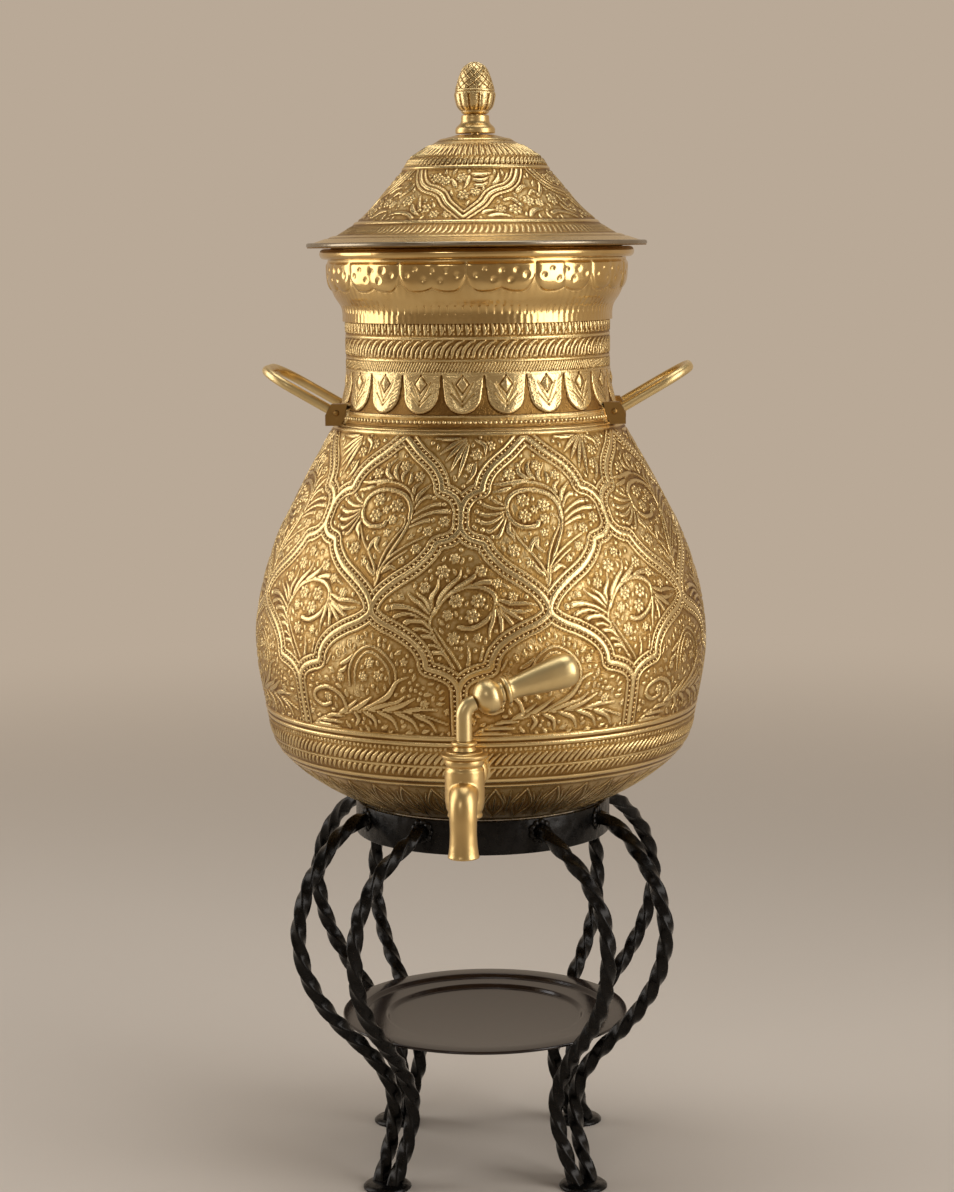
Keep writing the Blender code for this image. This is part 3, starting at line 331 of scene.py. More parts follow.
class Chasing:
    """Height in mm of one repeating cell of chased metal, over azimuth and the length of an outline."""

    def __init__(self, outline, low, high, first, period, columns, step):
        """Lay a drawing grid, twice as fine as the mesh, on an outline between two heights in mm."""
        outline = np.array(outline)
        travel = np.concatenate(([0], np.cumsum(np.hypot(*np.diff(outline, axis=0).T))))
        self.known = outline[:, 1], travel
        start, end = np.interp([low, high], outline[:, 1], travel)
        self.rows = max(2, round((end - start) / step))
        self.s = np.linspace(start, end, 2 * self.rows + 1)
        self.r = np.interp(self.s, travel, outline[:, 0])
        self.z = np.interp(self.s, travel, outline[:, 1])
        self.scale = self.r * math.pi / 180
        self.first, self.period, self.columns = first, period, columns
        self.pitch = period / (2 * columns)
        self.height = np.zeros((2 * self.rows + 1, 2 * columns))
        self.used = np.zeros(self.height.shape, bool)

    def near(self, points, reach):
        """Rows and columns near a line, with their distance from it and share along it."""
        line = np.array(points, float)
        s = np.interp(line[:, 1], *self.known)
        rows = np.arange(*np.searchsorted(self.s, (s.min() - reach, s.max() + reach)))
        if not len(rows):
            return None
        side = reach / self.scale[rows].min()
        low = math.floor((line[:, 0].min() - side - self.first) / self.pitch)
        high = math.ceil((line[:, 0].max() + side - self.first) / self.pitch)
        columns = np.arange(low, min(high, low + self.height.shape[1] - 1) + 1)
        across = self.scale[rows][:, None]
        u = (self.first + columns * self.pitch)[None, :]
        v = self.s[rows][:, None]
        lengths = np.hypot(np.diff(line[:, 0]) * across.mean(), np.diff(s))
        total = max(lengths.sum(), 1e-9)
        nearest = np.full((len(rows), len(columns)), 1e9)
        share = np.zeros(nearest.shape)
        done = 0
        for i, length in enumerate(lengths):
            du = (u - line[i, 0]) * across
            dv = v - s[i]
            ex = (line[i + 1, 0] - line[i, 0]) * across
            ey = s[i + 1] - s[i]
            t = np.clip((du * ex + dv * ey) / (ex * ex + ey * ey + 1e-9), 0, 1)
            d = np.hypot(du - t * ex, dv - t * ey)
            closer = d < nearest
            nearest = np.where(closer, d, nearest)
            share = np.where(closer, (done + t * length) / total, share)
            done += length
        return np.ix_(rows, columns % self.height.shape[1]), nearest, share

    def stroke(self, points, width, height, shape="stem", groove=0.28, vein=0.0, margin=0.7):
        """Raise a rounded line above the ground and sink a contour round it."""
        points = curve(points, 5) if len(points) > 2 else points
        found = self.near(points, width / 2 + margin)
        if found is None:
            return
        cells, d, t = found
        if shape == "leaf":
            half = width / 2 * (0.22 + 0.78 * np.sin(math.pi * np.clip(t, 0, 1) ** 0.75))
        elif shape == "curl":
            half = width / 2 * (0.42 + 0.58 * t ** 1.2)
        elif shape == "stem":
            half = width / 2 * (1 - 0.45 * t)
        else:
            half = np.full(d.shape, width / 2)
        inside = d < half
        top = height * np.sqrt(np.clip(1 - (d / half) ** 2, 0, 1))
        top = top - vein * np.exp(-(d / 0.34) ** 2) * np.clip(1.2 - t, 0, 1)
        here = self.height[cells]
        rim = (d >= half) & (d < half + margin)
        sunk = -groove * np.clip(1 - (d - half) / margin, 0, 1)
        here = np.where(rim, np.minimum(here, np.maximum(sunk, here * 0.35 + sunk)), here)
        here = np.where(inside, np.maximum(top, 0), here)
        self.height[cells] = here
        self.used[cells] |= d < half + 0.35

    def dome(self, azimuth, z, radius, height, groove=0.28, margin=0.6):
        """Raise one round boss."""
        found = self.near(((azimuth, z), (azimuth, z + 0.01)), radius + margin)
        if found is None:
            return
        cells, d, _ = found
        here = self.height[cells]
        rim = (d >= radius) & (d < radius + margin)
        here = np.where(rim, np.minimum(here, -groove * (1 - (d - radius) / margin)), here)
        here = np.where(d < radius, height * np.sqrt(np.clip(1 - (d / radius) ** 2, 0, 1)), here)
        self.height[cells] = here
        self.used[cells] |= d < radius + 0.35

    def bands(self, bands, margin, floor=-0.2):
        """Turned bands all the way round, each with its middle, half width and height in mm."""
        z = self.z[:, None]
        for middle, half, height in bands:
            band = height * np.sqrt(np.clip(1 - ((z - middle) / half) ** 2, 0, 1))
            near = np.abs(z - middle) < half + margin
            self.height = np.where(near, np.maximum(band, floor), self.height)
            self.used |= near

    def rosette(self, azimuth, z, radius, height):
        """A flower: a ring of round petals about a boss."""
        s = np.interp(z, *self.known)
        scale = np.interp(s, self.s, self.scale)
        slope = np.interp(z + 0.5, *self.known) - np.interp(z - 0.5, *self.known)
        self.dome(azimuth, z, radius * 0.9, 0.1, 0.4)
        petals = 6 if radius > 2.7 else 5
        for k in range(petals):
            turn = math.tau * (k + 0.25) / petals
            self.dome(azimuth + 0.68 * radius * math.cos(turn) / scale,
                      z + 0.68 * radius * math.sin(turn) / slope, 0.39 * radius, height, 0.1, 0.4)
        self.dome(azimuth, z, 0.3 * radius, height, 0.0, 0.3)

    def draw(self, motifs, height):
        """Work a list of motifs, each over those before it."""
        for kind, width, points in motifs:
            if kind == "rosette":
                self.rosette(*points[0], width * 1.16, height)
            elif kind == "dome":
                self.dome(*points[0], width, height)
            elif kind == "curl":
                self.stroke(points, width * 1.2, height, "curl", vein=0.2)
                self.dome(*points[-1], width * 0.62, height)
            elif kind == "leaf":
                self.stroke(points, width * 1.25, height, "leaf", vein=0.34)
            elif kind == "scroll":
                self.stroke(points, width * 1.1, height, "line", vein=0.34)
            else:
                self.stroke(points, width, height, kind)

    def fill(self, low, high, seed, sizes, tries, height, flow=None):
        """Work sprigs, leaves and bosses into what the motifs leave free, the same way each time."""
        chance = np.random.default_rng(seed)
        for size, count in zip(sizes, tries):
            for _ in range(count):
                azimuth = self.first + self.period * chance.random()
                z = low + (high - low) * chance.random()
                turn = math.pi / 2
                if flow:
                    base, root = flow(azimuth, z)
                    turn = math.atan2(z - root, (azimuth - base) * np.interp(z, self.z, self.scale))
                turn += 1.3 * (chance.random() - 0.5)
                bend = chance.choice((-0.5, 0.5))
                scale = np.interp(z, self.z, self.scale)
                reach = size / 2 if size > 2 else 0.01
                side, rise = math.cos(turn), math.sin(turn)
                ends = ((azimuth - reach * side / scale, z - reach * rise),
                        (azimuth - bend * rise / scale, z + bend * side),
                        (azimuth + reach * side / scale, z + reach * rise))
                width = 1.15 if size > 2 else size
                if size > 4:
                    width = 2.0
                found = self.near(ends, width + 0.3)
                if found is None or (self.used[found[0]] & (found[1] < width + 0.15)).any():
                    continue
                if size < 2:
                    self.dome(azimuth, z, size, height)
                    continue
                if size > 4:
                    for way in (-1, 1):
                        tip = (ends[1][0] + way * 1.7 * -rise / scale + 0.9 * side / scale,
                               ends[1][1] + way * 1.7 * side + 0.9 * rise)
                        self.stroke((ends[0], tip), 1.7, height * 0.9, "leaf", margin=0.4)
                self.stroke(ends, 2.2, height, "leaf", vein=0.2)

    def smoothed(self):
        """The drawing with its steps taken off, wrapped round the cell's sides."""
        h = self.height
        h = 0.25 * np.roll(h, 1, axis=1) + 0.5 * h + 0.25 * np.roll(h, -1, axis=1)
        padded = np.concatenate((h[:1], h, h[-1:]))
        return 0.25 * padded[:-2] + 0.5 * padded[1:-1] + 0.25 * padded[2:]


def curve(points, steps):
    """Points of a Catmull-Rom curve through the given points."""
    points = np.array(points, float)
    ends = np.vstack((2 * points[0] - points[1], points, 2 * points[-1] - points[-2]))
    made = []
    for a, b, c, d in zip(ends, ends[1:], ends[2:], ends[3:]):
        for k in range(steps):
            t = k / steps
            made.append(0.5 * (2 * b + (c - a) * t + (2 * a - 5 * b + 4 * c - d) * t * t
                               + (3 * b - a - 3 * c + d) * t * t * t))
    return np.array(made + [points[-1]])


def blur(h, rows, columns):
    """Box-average heights over a window that wraps round the axis."""
    for axis, reach in ((0, rows), (1, columns)):
        mode = "edge" if axis == 0 else "wrap"
        pad = [(reach + 1, reach) if a == axis else (0, 0) for a in (0, 1)]
        total = np.cumsum(np.pad(h, pad, mode=mode), axis=axis)
        span = 2 * reach + 1
        if axis == 0:
            h = (total[span:] - total[:-span]) / span
        else:
            h = (total[:, span:] - total[:, :-span]) / span
    return h


def shell_mesh(name, outer, normals, inner, recess, closed_low=False, closed_high=False):
    """One closed band of sheet: outer rows, inner rows, and a strip or a pole at each edge."""
    rows, columns = outer.shape[:2]
    vertices = [outer.reshape(-1, 3), inner.reshape(-1, 3)]
    base = rows * columns
    grid = np.arange(rows * columns).reshape(rows, columns)
    wall = base + np.arange(inner.shape[0] * columns).reshape(-1, columns)
    quads = []

    def strip(low, high):
        quads.append(np.stack((low, np.roll(low, -1), np.roll(high, -1), high), axis=-1).reshape(-1, 4))

    for low, high in zip(grid, grid[1:]):
        strip(low, high)
    for low, high in zip(wall, wall[1:]):
        strip(high, low)
    poles = []
    fans = []
    count = base + wall.size
    for closed, row, skin, flip in ((closed_low, grid[0], wall[0], False),
                                    (closed_high, grid[-1], wall[-1], True)):
        if not closed:
            strip(*((row, skin) if flip else (skin, row)))
            continue
        for ring, points, turned in ((row, outer[-1 if flip else 0], flip),
                                     (skin, inner[-1 if flip else 0], not flip)):
            poles.append(points.mean(axis=0))
            around = np.roll(ring, -1)
            tip = np.full(columns, count)
            count += 1
            fans.append(np.stack((ring, around, tip) if turned else (around, ring, tip), axis=-1))
    if poles:
        vertices.append(np.array(poles))
    quads = np.concatenate(quads)
    faces = quads.tolist() + [face for fan in fans for face in fan.tolist()]
    mesh = bpy.data.meshes.new(name)
    mesh.from_pydata(np.concatenate(vertices).tolist(), [], faces)
    mesh.shade_smooth()
    attribute = mesh.attributes.new("recess", "FLOAT", "POINT")
    values = np.full(len(mesh.vertices), 0.5, np.float32)
    values[:base] = recess.reshape(-1)
    attribute.data.foreach_set("value", values)
    given = np.zeros((len(mesh.vertices), 3))
    given[:base] = normals.reshape(-1, 3)
    mesh.normals_split_custom_set_from_vertices(given.tolist())
    return mesh


def put(name, mesh, material, body, *nodes, slot=None):
    """Show a finished mesh that stands for CAD nodes and moves with their body."""
    piece = bpy.data.objects.new(name, mesh)
    bpy.context.scene.collection.objects.link(piece)
    mesh.materials.clear()
    mesh.materials.append(material)
    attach(piece, body)
    if nodes:
        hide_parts(*nodes)
    return piece


def turned_relief(name, outline, chasing, copies, depth, material, body, nodes, wall=2.6, limit=66,
                  closed_low=False, closed_high=False, seats=()):
    """Turn an outline in mm into closed bands whose outside carries the chasing."""
    fine = chasing.smoothed()
    crest = fine.max()
    along = np.gradient(-fine, chasing.s, axis=0) * depth
    around = (np.roll(fine, 1, axis=1) - np.roll(fine, -1, axis=1)) * depth
    around /= 2 * (chasing.scale * chasing.pitch)[:, None]
    reach = max(1, round(1.5 / (chasing.s[1] - chasing.s[0])))
    side = max(1, round(1.5 / (chasing.scale.mean() * chasing.pitch)))
    # How far each point lies below its neighbours; it darkens the chased brass, part patina and part painted
    # shade
    low = blur(blur(fine, reach, side), reach, side) - fine
    recess = np.clip(0.85 * np.clip(low / 0.5, 0, 1) + 0.22 * np.clip((0.35 - fine) / 0.5, 0, 1), 0, 1)
    h, along, around, recess = [np.tile(field[::2, ::2], (1, copies)) for field in (fine, along, around,
                                                                                    recess)]
    total = chasing.columns * copies
    azimuth = np.radians(chasing.first + 360 * np.arange(total) / total)
    rows, r, z = chasing.s[::2], chasing.r[::2], chasing.z[::2]
    for seat_azimuth, seat_z, room in seats:
        turn = np.angle(np.exp(1j * (azimuth - math.radians(seat_azimuth))))
        away = np.hypot(turn[None, :] * r[:, None], (z - seat_z)[:, None])
        level = np.clip((room - away) / 1.5, 0, 1)
        h = h * (1 - level) + crest * level
        along, around, recess = [field * (1 - level) for field in (along, around, recess)]
    outline = np.array(outline)
    tangent = np.gradient(outline, chasing.known[1], axis=0)
    tr = np.interp(rows, chasing.known[1], tangent[:, 0])
    tz = np.interp(rows, chasing.known[1], tangent[:, 1])
    size = np.hypot(tr, tz)
    tr, tz = tr / size, tz / size
    out_x, out_y = np.sin(azimuth)[None, :], -np.cos(azimuth)[None, :]

    def place(radius, height):
        return np.stack((radius * out_x * MM + AXIS.x, radius * out_y * MM + AXIS.y,
                         height * MM + 0 * out_x), axis=-1)

    sink = (crest - h) * depth
    outer = place(r[:, None] - sink * tz[:, None], z[:, None] + sink * tr[:, None])
    lean = tz[:, None] + along * tr[:, None]
    normals = np.stack((lean * out_x - around * out_y, lean * out_y + around * out_x,
                        along * tz[:, None] - tr[:, None]), axis=-1)
    normals /= np.linalg.norm(normals, axis=2, keepdims=True)
    pieces = []
    count = math.ceil((len(rows) - 1) / limit)
    edges = np.linspace(0, len(rows) - 1, count + 1).round().astype(int)
    for k in range(count):
        a, b = edges[k], edges[k + 1]
        picks = np.unique(np.linspace(a, b, max(3, (b - a) // 9 + 1)).round().astype(int))
        inner = place((r - wall * tz)[picks][:, None], (z + wall * tr)[picks][:, None])
        title = name if count == 1 else "%s_%d" % (name, k + 1)
        mesh = shell_mesh(title, outer[a:b + 1], normals[a:b + 1], inner, recess[a:b + 1],
                          closed_low and k == 0, closed_high and k == count - 1)
        pieces.append(put(title, mesh, material, body, *nodes))
    return pieces


def dense(shares, radius, height, base, steps=16):
    """A smooth outline in mm from shares of a radius and of a height above a base."""
    return curve([(r * radius, base + h * height) for r, h in shares], steps)


def surface_point(chasing, azimuth, z, depth):
    """Place and outward direction of a point on a chased surface, that far below its crest in mm."""
    s = np.interp(z, *chasing.known)
    step = 0.5
    r = np.interp(s, chasing.s, chasing.r)
    r2 = np.interp(s + step, chasing.s, chasing.r)
    z2 = np.interp(s + step, chasing.s, chasing.z)
    r1 = np.interp(s - step, chasing.s, chasing.r)
    z1 = np.interp(s - step, chasing.s, chasing.z)
    size = math.hypot(r2 - r1, z2 - z1)
    nr, nz = (z2 - z1) / size, -(r2 - r1) / size
    turn = math.radians(azimuth)
    out = Vector((nr * math.sin(turn), -nr * math.cos(turn), nz))
    place = Vector((AXIS.x + (r - depth * nr) * MM * math.sin(turn),
                    AXIS.y - (r - depth * nr) * MM * math.cos(turn), (z - depth * nz) * MM))
    return place, out


def repaint(node, material):
    """Give a CAD node that stays in view its own finish."""
    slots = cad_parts[node].data.materials
    slots.clear()
    slots.append(material)


# Trees for what repeats or follows a line

def new_tree(name, **inputs):
    """A tree with its named inputs and its Group Input node."""
    tree = bpy.data.node_groups.new(name, "GeometryNodeTree")
    tree.interface.new_socket("Geometry", in_out="INPUT", socket_type="NodeSocketGeometry")
    for label, value in inputs.items():
        kind = "NodeSocketInt" if isinstance(value, int) else "NodeSocketFloat"
        tree.interface.new_socket(label, in_out="INPUT", socket_type=kind).default_value = value
    tree.interface.new_socket("Metal", in_out="INPUT", socket_type="NodeSocketMaterial")
    tree.interface.new_socket("Geometry", in_out="OUTPUT", socket_type="NodeSocketGeometry")
    return tree, add_node(tree, "NodeGroupInput")


def end_tree(tree, given, source, output):
    """Close a tree with real geometry in its metal."""
    real = add_node(tree, "GeometryNodeRealizeInstances", links={"Geometry": (source, output)})
    metal = add_node(tree, "GeometryNodeSetMaterial",
                     links={"Geometry": (real, "Geometry"), "Material": (given, "Metal")})
    add_node(tree, "NodeGroupOutput", links={"Geometry": (metal, "Geometry")})
    return tree


def bead_tree():
    """Flattened beads set on points, each facing out."""
    tree, given = new_tree("beads_on_points", Radius=0.001, Flatness=0.8, Unevenness=0.1, Seed=7)
    ball = add_node(tree, "GeometryNodeMeshUVSphere", values={"Segments": 7, "Rings": 4},
                    links={"Radius": (given, "Radius")})
    smooth = add_node(tree, "GeometryNodeSetShadeSmooth", links={"Geometry": (ball, "Mesh")})
    out = add_node(tree, "GeometryNodeInputNamedAttribute", {"data_type": "FLOAT_VECTOR"},
                   {"Name": "outward"})
    turn = add_node(tree, "FunctionNodeAlignRotationToVector", {"axis": "Z"},
                    links={"Vector": (out, "Attribute")})
    low = add_node(tree, "ShaderNodeMath", {"operation": "SUBTRACT"}, {0: 1.0},
                   {1: (given, "Unevenness")})
    vary = add_node(tree, "FunctionNodeRandomValue", {"data_type": "FLOAT"}, {3: 1.0},
                    {2: (low, 0), "Seed": (given, "Seed")})
    thin = add_node(tree, "ShaderNodeMath", {"operation": "MULTIPLY"},
                    links={0: (vary, 1), 1: (given, "Flatness")})
    scale = add_node(tree, "ShaderNodeCombineXYZ", links={"X": (vary, 1), "Y": (vary, 1), "Z": (thin, 0)})
    beads = add_node(tree, "GeometryNodeInstanceOnPoints",
                     links={"Points": (given, "Geometry"), "Instance": (smooth, "Geometry"),
                            "Rotation": (turn, "Rotation"), "Scale": (scale, "Vector")})
    return end_tree(tree, given, beads, "Instances")


def rod_tree():
    """A round bar swept along a line."""
    tree, given = new_tree("round_bar_on_line", Radius=0.003, Sides=24)
    line = add_node(tree, "GeometryNodeMeshToCurve", links={"Mesh": (given, "Geometry")})
    section = add_node(tree, "GeometryNodeCurvePrimitiveCircle", {"mode": "RADIUS"},
                       links={"Radius": (given, "Radius"), "Resolution": (given, "Sides")})
    skin = add_node(tree, "GeometryNodeCurveToMesh", values={"Fill Caps": True},
                    links={"Curve": (line, "Curve"), "Profile Curve": (section, "Curve")})
    smooth = add_node(tree, "GeometryNodeSetShadeSmooth", links={"Geometry": (skin, "Mesh")})
    return end_tree(tree, given, smooth, "Geometry")


def grown(name, mesh, tree, inputs):
    """Run a tree on a mesh and give back what it makes as a plain mesh."""
    seedling = bpy.data.objects.new(name + "_seed", mesh)
    bpy.context.scene.collection.objects.link(seedling)
    step = seedling.modifiers.new("grow", "NODES")
    step.node_group = tree
    for item in tree.interface.items_tree:
        if item.in_out == "INPUT" and item.name in inputs:
            step[item.identifier] = inputs[item.name]
    bpy.context.view_layer.update()
    evaluated = seedling.evaluated_get(bpy.context.evaluated_depsgraph_get())
    made = bpy.data.meshes.new_from_object(evaluated)
    made.name = name
    seedling.modifiers.clear()
    bpy.data.objects.remove(seedling)
    return made


def point_mesh(name, places):
    """Loose points that carry the direction each one faces."""
    mesh = bpy.data.meshes.new(name)
    mesh.from_pydata([tuple(place) for place, _ in places], [], [])
    attribute = mesh.attributes.new("outward", "FLOAT_VECTOR", "POINT")
    attribute.data.foreach_set("vector", [value for _, out in places for value in out])
    return mesh


def line_mesh(name, points, closed=False):
    """A chain of edges through points."""
    mesh = bpy.data.meshes.new(name)
    edges = [(i, i + 1) for i in range(len(points) - 1)]
    if closed:
        edges.append((len(points) - 1, 0))
    mesh.from_pydata([tuple(p) for p in points], edges, [])
    return mesh


def lathe(name, outline, sides, centre, turn=None, sharp=42):
    """Spin an outline of (radius, height) in mm about its own axis, then lay it in place."""
    bm = bmesh.new()
    column = [bm.verts.new((r * MM, 0, z * MM)) for r, z in outline]
    edges = [bm.edges.new(pair) for pair in zip(column, column[1:])]
    bmesh.ops.spin(bm, geom=column + edges, cent=(0, 0, 0), axis=(0, 0, 1), angle=math.tau, steps=sides)
    bmesh.ops.remove_doubles(bm, verts=bm.verts, dist=1e-6)
    bmesh.ops.recalc_face_normals(bm, faces=bm.faces)
    if turn:
        bmesh.ops.rotate(bm, verts=bm.verts, cent=(0, 0, 0), matrix=turn.to_matrix())
    bmesh.ops.translate(bm, verts=bm.verts, vec=centre)
    mesh = bpy.data.meshes.new(name)
    bm.to_mesh(mesh)
    bm.free()
    mesh.shade_smooth()
    mesh.set_sharp_from_angle(angle=math.radians(sharp))
    return mesh


def rounded(outline, radius, steps=3):
    """An outline with its inner corners rounded."""
    points = [Vector(p) for p in outline]
    made = [points[0]]
    for before, here, after in zip(points, points[1:], points[2:]):
        back, on = before - here, after - here
        reach = min(radius, back.length * 0.45, on.length * 0.45)
        start, end = here + back.normalized() * reach, here + on.normalized() * reach
        for k in range(steps + 1):
            t = k / steps
            made.append(start * (1 - t) ** 2 + here * 2 * t * (1 - t) + end * t * t)
    return made + [points[-1]]


def skinned(name, rings):
    """A closed bar through rings of points."""
    count = len(rings[0])
    vertices = [tuple(p) for ring in rings for p in ring]
    faces = []
    for i in range(len(rings) - 1):
        for k in range(count):
            after = (k + 1) % count
            faces.append((i * count + k, i * count + after, (i + 1) * count + after, (i + 1) * count + k))
    faces.append(tuple(range(count - 1, -1, -1)))
    faces.append(tuple(range(len(vertices) - count, len(vertices))))
    mesh = bpy.data.meshes.new(name)
    mesh.from_pydata(vertices, [], faces)
    bm = bmesh.new()
    bm.from_mesh(mesh)
    bmesh.ops.recalc_face_normals(bm, faces=bm.faces)
    bm.to_mesh(mesh)
    bm.free()
    mesh.shade_smooth()
    mesh.set_sharp_from_angle(angle=math.radians(60))
    return mesh


def cast_together(name, meshes, grain, passes):
    """Join closed forms into one casting with soft inner corners."""
    bm = bmesh.new()
    for mesh in meshes:
        bm.from_mesh(mesh)
    joined = bpy.data.meshes.new(name + "_forms")
    bm.to_mesh(joined)
    bm.free()
    mould = bpy.data.objects.new(name + "_mould", joined)
    bpy.context.scene.collection.objects.link(mould)
    skin = mould.modifiers.new("skin", "REMESH")
    skin.mode = "VOXEL"
    skin.voxel_size = grain
    skin.use_smooth_shade = True
    soften = mould.modifiers.new("soften", "SMOOTH")
    soften.factor = 0.5
    soften.iterations = passes
    bpy.context.view_layer.update()
    made = bpy.data.meshes.new_from_object(mould.evaluated_get(bpy.context.evaluated_depsgraph_get()))
    made.name = name
    mould.modifiers.clear()
    bpy.data.objects.remove(mould)
    made.shade_smooth()
    return made


# Finishes

def start_material(name, metallic):
    """A material with its tree, its shader and the object's own coordinates."""
    material = bpy.data.materials.new(name)
    material.use_nodes = True
    tree = material.node_tree
    shader = tree.nodes["Principled BSDF"]
    shader.inputs["Metallic"].default_value = metallic
    return material, tree, shader, add_node(tree, "ShaderNodeTexCoord")


def end_material(made, tone, rough, relief, strength, depth):
    """Link a colour, a roughness and a fine relief to the shader; each source is (node, output)."""
    material, tree, shader, _ = made
    bump = add_node(tree, "ShaderNodeBump", values={"Strength": strength, "Distance": depth},
                    links={"Height": relief})
    for socket, (node, output) in (("Base Color", tone), ("Roughness", rough), ("Normal", (bump, "Normal"))):
        tree.links.new(node.outputs[output], shader.inputs[socket])
    return material


def chased_brass(finishes):
    """Sheet brass, chased by hand and rubbed: bright warm crests, brown oxide and painted shade in the ground.
    """
    made = start_material("chased_sheet_brass", 1.0)
    _, tree, _, place = made
    recess = add_node(tree, "ShaderNodeAttribute", {"attribute_name": "recess"})
    # Blotches of patina some 30 mm across.
    cloud = add_node(tree, "ShaderNodeTexNoise", values={"Scale": 34.0, "Detail": 4.0, "Roughness": 0.6},
                     links={"Vector": (place, "Object")})
    spread = add_node(tree, "ShaderNodeMapRange", values={"From Min": 0.3, "From Max": 0.7, "To Min": -0.10,
                                                         "To Max": 0.12}, links={"Value": (cloud, "Fac")})
    amount = add_node(tree, "ShaderNodeMath", {"operation": "ADD", "use_clamp": True},
                      links={0: (recess, "Fac"), 1: (spread, "Result")})
    # Crest brass turning dark in the hollows: partly real patina, partly painted shade in the grooves.
    tone = add_node(tree, "ShaderNodeValToRGB", links={"Fac": (amount, "Value")})
    tone.color_ramp.elements[0].position = 0.08
    tone.color_ramp.elements[0].color = (*finishes.brass, 1)
    tone.color_ramp.elements[1].position = 0.72
    tone.color_ramp.elements[1].color = (*finishes.patina_and_shade, 1)
    middle = tone.color_ramp.elements.new(0.30)
    middle.color = (*linear("#AA8448"), 1)
    rough = add_node(tree, "ShaderNodeMapRange", values={"To Min": 0.25, "To Max": 0.48},
                     links={"Value": (amount, "Value")})
    # Marks of the planishing hammer and the matting punch, about 1.4 mm and 0.9 mm.
    marks = add_node(tree, "ShaderNodeTexNoise", values={"Scale": 700.0, "Detail": 3.0, "Roughness": 0.55},
                     links={"Vector": (place, "Object")})
    punch = add_node(tree, "ShaderNodeTexVoronoi", values={"Scale": 1100.0},
                     links={"Vector": (place, "Object")})
    ground = add_node(tree, "ShaderNodeMapRange", values={"From Min": 0.06, "From Max": 0.26, "To Max": 1.3},
                      links={"Value": (recess, "Fac")})
    deeper = add_node(tree, "ShaderNodeMath", {"operation": "MULTIPLY"},
                      links={0: (punch, "Distance"), 1: (ground, "Result")})
    both = add_node(tree, "ShaderNodeMath", {"operation": "ADD"},
                    links={0: (marks, "Fac"), 1: (deeper, "Value")})
    return end_material(made, (tone, "Color"), (rough, "Result"), (both, "Value"), 0.8, 0.00035)


def cast_brass(name, low, high, colour, shade):
    """Cast brass, filed and buffed: a warm gloss or satin with faint waves and rubbing marks."""
    made = start_material(name, 1.0)
    _, tree, _, place = made
    cloud = add_node(tree, "ShaderNodeTexNoise", values={"Scale": 60.0, "Detail": 5.0},
                     links={"Vector": (place, "Object")})
    tone = add_node(tree, "ShaderNodeMix", {"data_type": "RGBA"},
                    {"A": (*colour, 1), "B": (*linear(shade), 1)}, {"Factor": (cloud, "Fac")})
    recess = add_node(tree, "ShaderNodeAttribute", {"attribute_name": "recess"})
    dull = add_node(tree, "ShaderNodeMath", {"operation": "ADD", "use_clamp": True},
                    links={0: (cloud, "Fac"), 1: (recess, "Fac")})
    rough = add_node(tree, "ShaderNodeMapRange", values={"From Min": 0.25, "To Min": low, "To Max": high},
                     links={"Value": (dull, "Value")})
    waves = add_node(tree, "ShaderNodeTexNoise", values={"Scale": 160.0, "Detail": 2.0},
                     links={"Vector": (place, "Object")})
    return end_material(made, (tone, "Result"), (rough, "Result"), (waves, "Fac"), 0.35, 0.0004)


def wrought_iron(finishes):
    """Hot-forged iron, oiled black: dull scale in small pits, a soft sheen on the hammered faces."""
    made = start_material("oil_blackened_wrought_iron", 0.85)
    _, tree, _, place = made
    scale = add_node(tree, "ShaderNodeTexNoise", values={"Scale": 240.0, "Detail": 6.0, "Roughness": 0.62},
                     links={"Vector": (place, "Object")})
    tone = add_node(tree, "ShaderNodeMix", {"data_type": "RGBA"}, {"A": (*finishes.iron, 1),
                                                                  "B": (*linear("#2A2826"), 1)},
                    {"Factor": (scale, "Fac")})
    rough = add_node(tree, "ShaderNodeMapRange", values={"To Min": 0.14, "To Max": 0.42},
                     links={"Value": (scale, "Fac")})
    hammer = add_node(tree, "ShaderNodeTexVoronoi", {"feature": "SMOOTH_F1"}, {"Scale": 150.0},
                      {"Vector": (place, "Object")})
    both = add_node(tree, "ShaderNodeMath", {"operation": "MULTIPLY_ADD"}, {1: 0.35},
                    {0: (scale, "Fac"), 2: (hammer, "Distance")})
    return end_material(made, (tone, "Result"), (rough, "Result"), (both, "Value"), 0.7, 0.0007)


def stove_enamel(finishes):
    """Stove enamel on spun steel: deep brown-black gloss with a faint orange peel."""
    made = start_material("brown_black_stove_enamel", 0.0)
    _, tree, _, place = made
    dust = add_node(tree, "ShaderNodeTexNoise", values={"Scale": 45.0, "Detail": 5.0},
                    links={"Vector": (place, "Object")})
    tone = add_node(tree, "ShaderNodeMix", {"data_type": "RGBA"}, {"A": (*finishes.tray, 1),
                                                                  "B": (*linear("#2B1E17"), 1)},
                    {"Factor": (dust, "Fac")})
    rough = add_node(tree, "ShaderNodeMapRange", values={"To Min": 0.10, "To Max": 0.20},
                     links={"Value": (dust, "Fac")})
    peel = add_node(tree, "ShaderNodeTexNoise", values={"Scale": 420.0, "Detail": 1.0},
                    links={"Vector": (place, "Object")})
    return end_material(made, (tone, "Result"), (rough, "Result"), (peel, "Fac"), 0.15, 0.0003)


